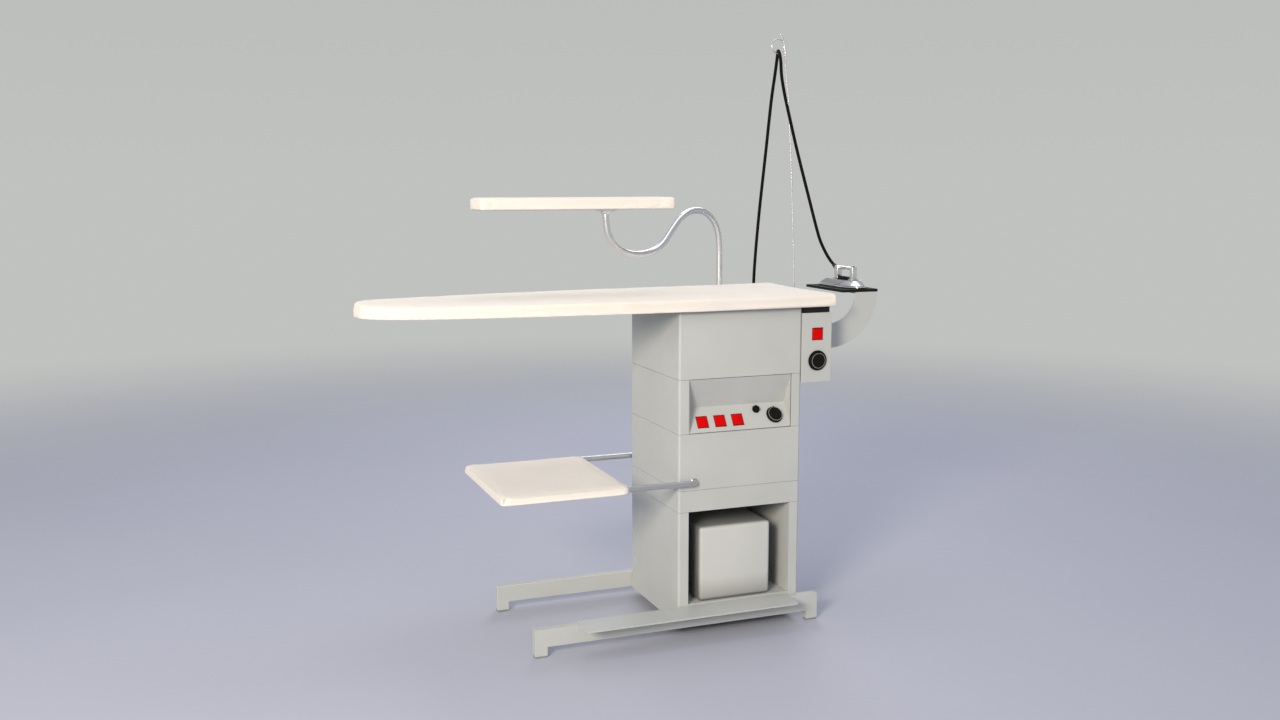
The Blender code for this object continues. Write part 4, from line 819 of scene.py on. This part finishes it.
def inflate(obj, held, cap, pressure=4.0, frames=20):
    """Cloth simulation with air pressure. Held points stay, and no point moves further than cap."""
    mesh = obj.data
    rest = np.empty(len(mesh.vertices) * 3)
    mesh.vertices.foreach_get("co", rest)
    group = obj.vertex_groups.new(name="held")
    group.add(held, 1.0, "ADD")
    cloth = obj.modifiers.new("Cloth", "CLOTH")
    settings = cloth.settings
    settings.quality = 4
    settings.mass = 0.25
    settings.tension_stiffness = settings.compression_stiffness = 12.0
    settings.bending_stiffness = 0.8
    settings.use_pressure = True
    settings.uniform_pressure_force = pressure
    settings.vertex_group_mass = group.name
    settings.effector_weights.gravity = 0.0
    settings.shrink_min = -0.012
    cloth.point_cache.frame_start, cloth.point_cache.frame_end = 1, frames
    for number in range(1, frames + 1):
        SCENE.frame_set(number)
    graph = bpy.context.evaluated_depsgraph_get()
    moved = obj.evaluated_get(graph).to_mesh()
    swollen = np.empty(len(moved.vertices) * 3)
    moved.vertices.foreach_get("co", swollen)
    travel = (swollen - rest).reshape(-1, 3)
    size = np.linalg.norm(travel, axis=1, keepdims=True)
    travel *= np.minimum(1.0, cap / np.maximum(size, 1e-9))
    obj.modifiers.remove(cloth)
    obj.vertex_groups.remove(group)
    SCENE.frame_set(1)
    mesh.vertices.foreach_set("co", (rest.reshape(-1, 3) + travel).ravel())
    mesh.update()


def sewn_cover(node, voxel, cap, filled=False):
    """A padded cover: the CAD solid's shape, swollen by simulation, then subdivided once."""
    obj, held = fabric_solid(node, voxel, filled)
    inflate(obj, held, cap)
    obj.data.materials.append(MATERIALS["cotton"])
    smoothed(obj)
    finer = obj.modifiers.new("Finer", "SUBSURF")
    finer.levels = finer.render_levels = 1
    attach(obj, BODY_OF[node])
    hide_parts(node)
    return obj


def build_covers():
    sewn_cover("board_cover", 0.0055, 0.0030)
    sewn_cover("sleeve_board_cover", 0.0045, 0.0025, filled=True)
    sewn_cover("tray_cover", 0.0055, 0.0030, filled=True)


# ---------------------------------------------------------------- iron
IRON_LOW, IRON_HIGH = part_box("iron_sole")
IRON_X = (IRON_LOW.x + IRON_HIGH.x) / 2
FLANK_LEAN, FLANK_CURVE = 0.240, 1.20  # the flank's lean at the deck, and how it swells on its way


def boat(half, tip, rear, blunt=0.006, count=16):
    """The iron's outline: straight sides, a curved bow and round rear corners."""
    bow, corner = 0.085, 0.020
    side = [(IRON_X + blunt, tip)]
    for i in range(1, count + 1):
        t = i / count
        swell = half * math.sin(t * math.pi / 2) ** 0.8 * t**0.15
        side.append((IRON_X + blunt * (1 - t) + swell, tip + bow * t**1.5))
    for i in range(7):
        angle = math.pi / 2 * i / 6
        side.append((
            IRON_X + half - corner + corner * math.cos(angle), rear - corner + corner * math.sin(angle),
        ))
    return side + [(2 * IRON_X - x, y) for x, y in reversed(side)]


def iron_rings(inset, levels):
    """Rings of the iron's outline drawn in by inset, each at a height and a scale about its middle."""
    outline = boat(IRON_HIGH.x - IRON_X - inset, IRON_LOW.y + 2 * inset, IRON_HIGH.y - inset)
    middle = (IRON_LOW.y + IRON_HIGH.y) / 2
    return [
        [(IRON_X + (x - IRON_X) * scale, middle + (y - middle) * scale, z) for x, y in outline]
        for z, scale in levels
    ]


def build_iron():
    low_z, top_z = IRON_LOW.z, IRON_HIGH.z
    sole = [
        (low_z, 0.975), (low_z + 0.0006, 0.99), (low_z + 0.0014, 1.0), (top_z - 0.0006, 1.0), (top_z, 0.992),
    ]
    for_node("iron_sole", "iron_soleplate", skin(iron_rings(0.0, sole)), ["bright"], 50.0)

    body_low, body_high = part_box("iron_body")
    foot, steps = body_low.z + 0.0006, 14
    levels = [(body_low.z, 0.985), (foot, 1.0)]
    for i in range(1, steps + 1):
        share = i / steps
        levels.append((foot + (body_high.z - foot) * share, 1.0 - FLANK_LEAN * share**FLANK_CURVE))
    levels.append((body_high.z, 1.0 - FLANK_LEAN - 0.012))
    for_node("iron_body", "iron_shell", skin(iron_rings(0.0022, levels)), ["bright"], 38.0)
    build_iron_handle(body_high.z)


def square_post(y, half, bottom, top, radius, steps):
    """A square upright on the iron's middle line."""
    return block((IRON_X - half, y - half, bottom), (IRON_X + half, y + half, top), radius, steps)


def build_iron_handle(deck):
    """The handle of two posts and a grooved bar, and what is fixed to it."""
    low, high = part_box("iron_handle")
    button_low, button_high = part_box("iron_steam_button")
    rear_half, grooves, steps = 0.0085, 15, 90
    front_y, rear_y = (button_low.y + button_high.y) / 2, high.y - rear_half
    posts = [
        square_post(y, half, low.z, high.z, 0.0018, 3)
        for y, half in ((front_y, 0.0078), (rear_y, rear_half))
    ]
    feet = [
        square_post(y, half, low.z - 0.0001, low.z + 0.0022, 0.0008, 2)
        for y, half in ((front_y, 0.0105), (rear_y, 0.0112))
    ]

    def grip(share):
        return 0.0050 - 0.0004 * (0.5 + 0.5 * math.cos(TURN * grooves * share))

    bar = [
        Vector((IRON_X, front_y + (rear_y - front_y) * i / steps, high.z - 0.0048)) for i in range(steps + 1)
    ]
    for_node("iron_handle", "iron_grip", merged(*posts, *feet, sweep(bar, grip, 24)), ["satin"], 40.0)

    guard_low, guard_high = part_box("iron_heat_guard")
    guard = block(guard_low, (guard_high.x, guard_high.y, guard_low.z + 0.0068), 0.0010, 3)
    for_node("iron_heat_guard", "iron_heat_guard_pad", guard, ["black"])

    at = Vector((IRON_X, front_y, high.z))
    profile = [(0.0045, -0.0045), (0.0045, 0.0010), (0.0042, 0.0015), (0.0035, 0.0019), (0.0018, 0.0016)]
    for_node("iron_steam_button", "iron_button", lathe(profile, at, Z_AXIS, 32), ["black"])
    build_hose_boot(rear_y + rear_half + 0.0001)
    fittings = [
        ((IRON_X + side, y, deck), Z_AXIS)
        for y in (front_y - 0.016, rear_y + 0.020) for side in (-0.014, 0.014)
    ]
    screws("iron_deck_screws", fittings, "iron", 0.0022)


def build_hose_boot(wall):
    """The ribbed rubber boot between the hose's end and the handle, cut flat at the handle's wall."""
    along = Vector((-0.25, 0.75, 0.61)).normalized()
    reach, wide, narrower, ribs = 0.0158, 0.0068, 0.0016, 5
    start = Vector(HOSE_ROUTE[-1]) - along * reach
    profile = [(wide, -0.004)]
    for i in range(ribs):
        z, r = reach * i / ribs, wide - narrower * i / ribs
        neck, end = r - 0.0008, z + reach / ribs - 0.0004
        profile += [(r, z), (r, z + 0.0016), (neck, z + 0.0020), (neck, end)]
    profile.append((0.0048, reach))
    boot = lathe(profile, start, along, 28)
    for vert in boot.verts:
        vert.co.y = max(vert.co.y, wall)
    for_node("iron_hose_boot", "iron_boot", boot, ["rubber"], 50.0)


# ---------------------------------------------------------------- rest, pole and gland
def build_rest():
    refined("rest_mat", ["mat"], 0.0010)
    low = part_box("rest_bracket")[0]
    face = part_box("control_box")[1].x + 0.0043
    places = [((face, low.y + 0.028, z), X_AXIS) for z in (low.z + 0.018, low.z + 0.044)]
    screws("rest_bracket_screws", places, radius=0.0036)


# The bent rod from its socket to the tip above the ring.
POLE_LINE = [
    (0.5465, 0.730), (0.5465, 0.840), (0.5455, 0.900), (0.5401, 1.0255), (0.5290, 1.250), (0.5177, 1.414),
    (0.5095, 1.490), (0.5048, 1.550), (0.5020, 1.575), (0.4975, 1.592), (0.4899, 1.604),
]


POLE_R = 0.002
RING_X, RING_Z, RING_R, RING_WIRE_R = 0.4822, 1.571, 0.0195, 0.0015


def build_pole():
    """The rod with the ring that the hose hangs in, in its socket."""
    socket_low, socket_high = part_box("pole_socket")
    y = (socket_low.y + socket_high.y) / 2
    rod = sweep(smooth_line([(x, y, z) for x, z in POLE_LINE], 0.02), POLE_R, 16)
    turns = [TURN * i / 72 for i in range(72)]
    loop = [Vector((RING_X + RING_R * math.cos(a), y, RING_Z + RING_R * math.sin(a))) for a in turns]
    ring = sweep(loop, RING_WIRE_R, 16, closed=True)
    for_node("hose_pole", "hose_rod", merged(rod, ring), ["tube"], 60.0)
    refined("pole_socket", ["black"], 0.0012)


def build_gland():
    """The hose's gland on the control box: a hexagonal nut and a ribbed sleeve."""
    gland_low, gland_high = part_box("hose_gland")
    at = Vector(((gland_low.x + gland_high.x) / 2, gland_low.y, (gland_low.z + gland_high.z) / 2))

    nut = 0.0140

    def hexagon(r, z, angle):
        """The nut's flats: the cosine is that of the angle to the middle of the nearest flat."""
        flat = 0.866 / math.cos((angle + math.pi / 6) % (math.pi / 3) - math.pi / 6)
        return min(r, nut * flat) if 0.0060 < z < 0.0130 and r > 0.0125 else r

    profile = [
        (0.0080, 0.0), (0.0080, 0.0063), (nut, 0.0063), (nut, 0.0115), (0.0120, 0.0125), (0.0092, 0.0130),
    ]
    for i in range(6):
        z = 0.0145 + 0.0034 * i
        wide = 0.0090 - 0.0004 * i
        profile += [(wide - 0.0008, z), (wide, z + 0.0005), (wide, z + 0.0018), (wide - 0.0008, z + 0.0023)]
    profile += [(0.0062, 0.0345), (0.0062, 0.0365), (0.0046, 0.0365)]
    for_node("hose_gland", "hose_gland_nut", lathe(profile, at, Y_AXIS, 48, hexagon), ["black"], 40.0)


# ---------------------------------------------------------------- sleeve arm and tray
ARM_R = 0.009
# The swan neck, from the sleeve board's seat to the post: the run from the seat, which is negative
# towards the post, and the height.
ARM_LINE = [
    (0.0, 1.1257), (0.0, 1.098), (-0.011, 1.058), (-0.042, 1.024), (-0.090, 1.006), (-0.142, 1.0015),
    (-0.196, 1.009), (-0.240, 1.031), (-0.276, 1.064), (-0.312, 1.095), (-0.350, 1.1115),
    (-0.393, 1.1150), (-0.432, 1.106), (-0.466, 1.083), (-0.487, 1.049), (-0.4935, 1.010),
]
POST_LINE = (0.965, 0.900, 0.704)
ARM_SEAT = Vector((-0.060, 0.008, 0.0))


def build_sleeve_arm():
    post = Vector(JOINTS["arm_swivel"]["pos_m"])
    post.z = 0.0
    along = (ARM_SEAT - post).normalized()
    line = [ARM_SEAT + along * run + Z_AXIS * z for run, z in ARM_LINE]
    line += [post + Z_AXIS * z for z in POST_LINE]
    collar_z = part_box("arm_socket")[1].z + 0.0005
    collar = [(ARM_R, 0.0), (0.0145, 0.0), (0.0145, 0.0078), (0.0135, 0.0095), (ARM_R, 0.0095)]
    seat_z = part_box("sleeve_board_plate")[0].z
    seat = [
        (ARM_R, -0.014), (0.0125, -0.010), (0.0150, -0.0045), (0.0290, -0.0035), (0.0290, -0.0004),
        (ARM_R, -0.0004),
    ]
    made = merged(
        sweep(smooth_line(line, 0.010), ARM_R, 32),
        lathe(collar, post + Z_AXIS * collar_z, Z_AXIS, 40),
        lathe(seat, ARM_SEAT + Z_AXIS * seat_z, Z_AXIS, 40),
    )
    for_node("arm_tube", "swan_neck", made, ["tube"], 40.0)
    refined("sleeve_board_plate", ["sheet_steel"], 0.0005)
    places = [
        (ARM_SEAT + Vector((0.0215 * math.cos(a), 0.0215 * math.sin(a), seat_z - 0.0036)), -Z_AXIS)
        for a in (TURN / 8 + TURN * i / 4 for i in range(4))
    ]
    screws("sleeve_seat_screws", places, "sleeve_arm", 0.003)


def build_tray():
    """The panel, a little smaller than its cover, and the tubes that bend into the cabinet at the pivot."""
    tuck = Vector((0.004, 0.004, 0.0))
    low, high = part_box("tray_board")
    for_node("tray_board", "tray_panel", block(low + tuck, high - tuck, 0.0005, 1), ["white"], 40.0)
    pivot = Vector(JOINTS["tray_fold"]["pos_m"])
    cab_low, cab_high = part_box("boiler_section_shell")
    bend, gap, sunk, steps = 0.013, 0.0145, 0.012, 30
    quarter = [math.pi / 2 * i / 8 for i in range(9)]
    for node, face, out in (("tray_tube_front", cab_low.y, -1.0), ("tray_tube_rear", cab_high.y, 1.0)):
        low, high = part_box(node)
        radius = (high.z - low.z) / 2
        x, y = pivot.x - bend, face + out * gap
        elbow = [
            Vector((x + bend * math.cos(a), y - out * bend + out * bend * math.sin(a), pivot.z))
            for a in quarter
        ]
        start = Vector((pivot.x, face - out * sunk, pivot.z))
        run = elbow[-1].x - low.x
        straight = [Vector((low.x + run * (1 - i / steps), y, pivot.z)) for i in range(1, steps + 1)]
        bar = sweep([start, *elbow, *straight], radius, 28)
        ferrule = [
            (radius, 0.0004), (radius + 0.0028, 0.0004), (radius + 0.0028, 0.0026),
            (radius + 0.0014, 0.0038), (radius, 0.0038),
        ]
        washer = lathe(ferrule, (pivot.x, face, pivot.z), Y_AXIS * out, 36)
        for_node(node, node + "_bent", merged(bar, washer), ["tray_tube"], 40.0)


# ---------------------------------------------------------------- water tank
def build_tank():
    low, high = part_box("water_tank")
    cap_low, cap_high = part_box("tank_cap")
    corner, middle = 0.010, (low.y + high.y) / 2
    reach = Vector((0.0006, 0.0007, (high.z - low.z) / 2 - corner))
    seams = []
    for x in (low.x, high.x):
        centre = Vector((x, middle, (low.z + high.z) / 2))
        seams.append(block(centre - reach, centre + reach, 0.0003, 1))
    shell = block(low, high, corner, 6)
    for_node("water_tank", "tank_moulding", merged(shell, *seams), ["white"], 50.0)

    at = Vector(((cap_low.x + cap_high.x) / 2, (cap_low.y + cap_high.y) / 2, high.z))

    def knurl(r, z, angle):
        ribbed = 0.001 < z < 0.0106 and r > 0.024
        return r * (1 - 0.03 * (0.5 + 0.5 * math.cos(28 * angle))) if ribbed else r

    profile = [
        (0.0195, -0.006), (0.0195, 0.0004), (0.0252, 0.0004), (0.0260, 0.0014), (0.0260, 0.0100),
        (0.0252, 0.0112), (0.0238, 0.0120), (0.0170, 0.0120), (0.0160, 0.0114),
    ]
    for_node("tank_cap", "tank_cap_knurled", lathe(profile, at, Z_AXIS, 112, knurl), ["grey_rubber"], 40.0)


# ---------------------------------------------------------------- pieces that keep their CAD shape
def finish_cad_nodes():
    """Materials for the CAD nodes that stay: the works inside the cabinet and the board."""
    kept = {
        "pedal_pivot_rod": "tube", "pedal_return_spring": "tube", "board_mesh_plate": "sheet_steel",
        "board_tray": "sheet_steel", "suction_duct": "sheet_steel", "fan_housing": "sheet_steel",
        "fan_impeller": "sheet_steel", "fan_motor": "motor", "feed_pump": "motor",
        "boiler_tank": "brass", "boiler_heater": "tube", "solenoid_valve": "brass",
    }
    for node, finish in kept.items():
        obj = NODES[node]
        obj.data.materials.clear()
        obj.data.materials.append(MATERIALS[finish])


build_cabinet()
build_controls()
build_covers()
build_iron()
build_rest()
build_pole()
build_gland()
build_sleeve_arm()
build_tray()
build_tank()
finish_cad_nodes()
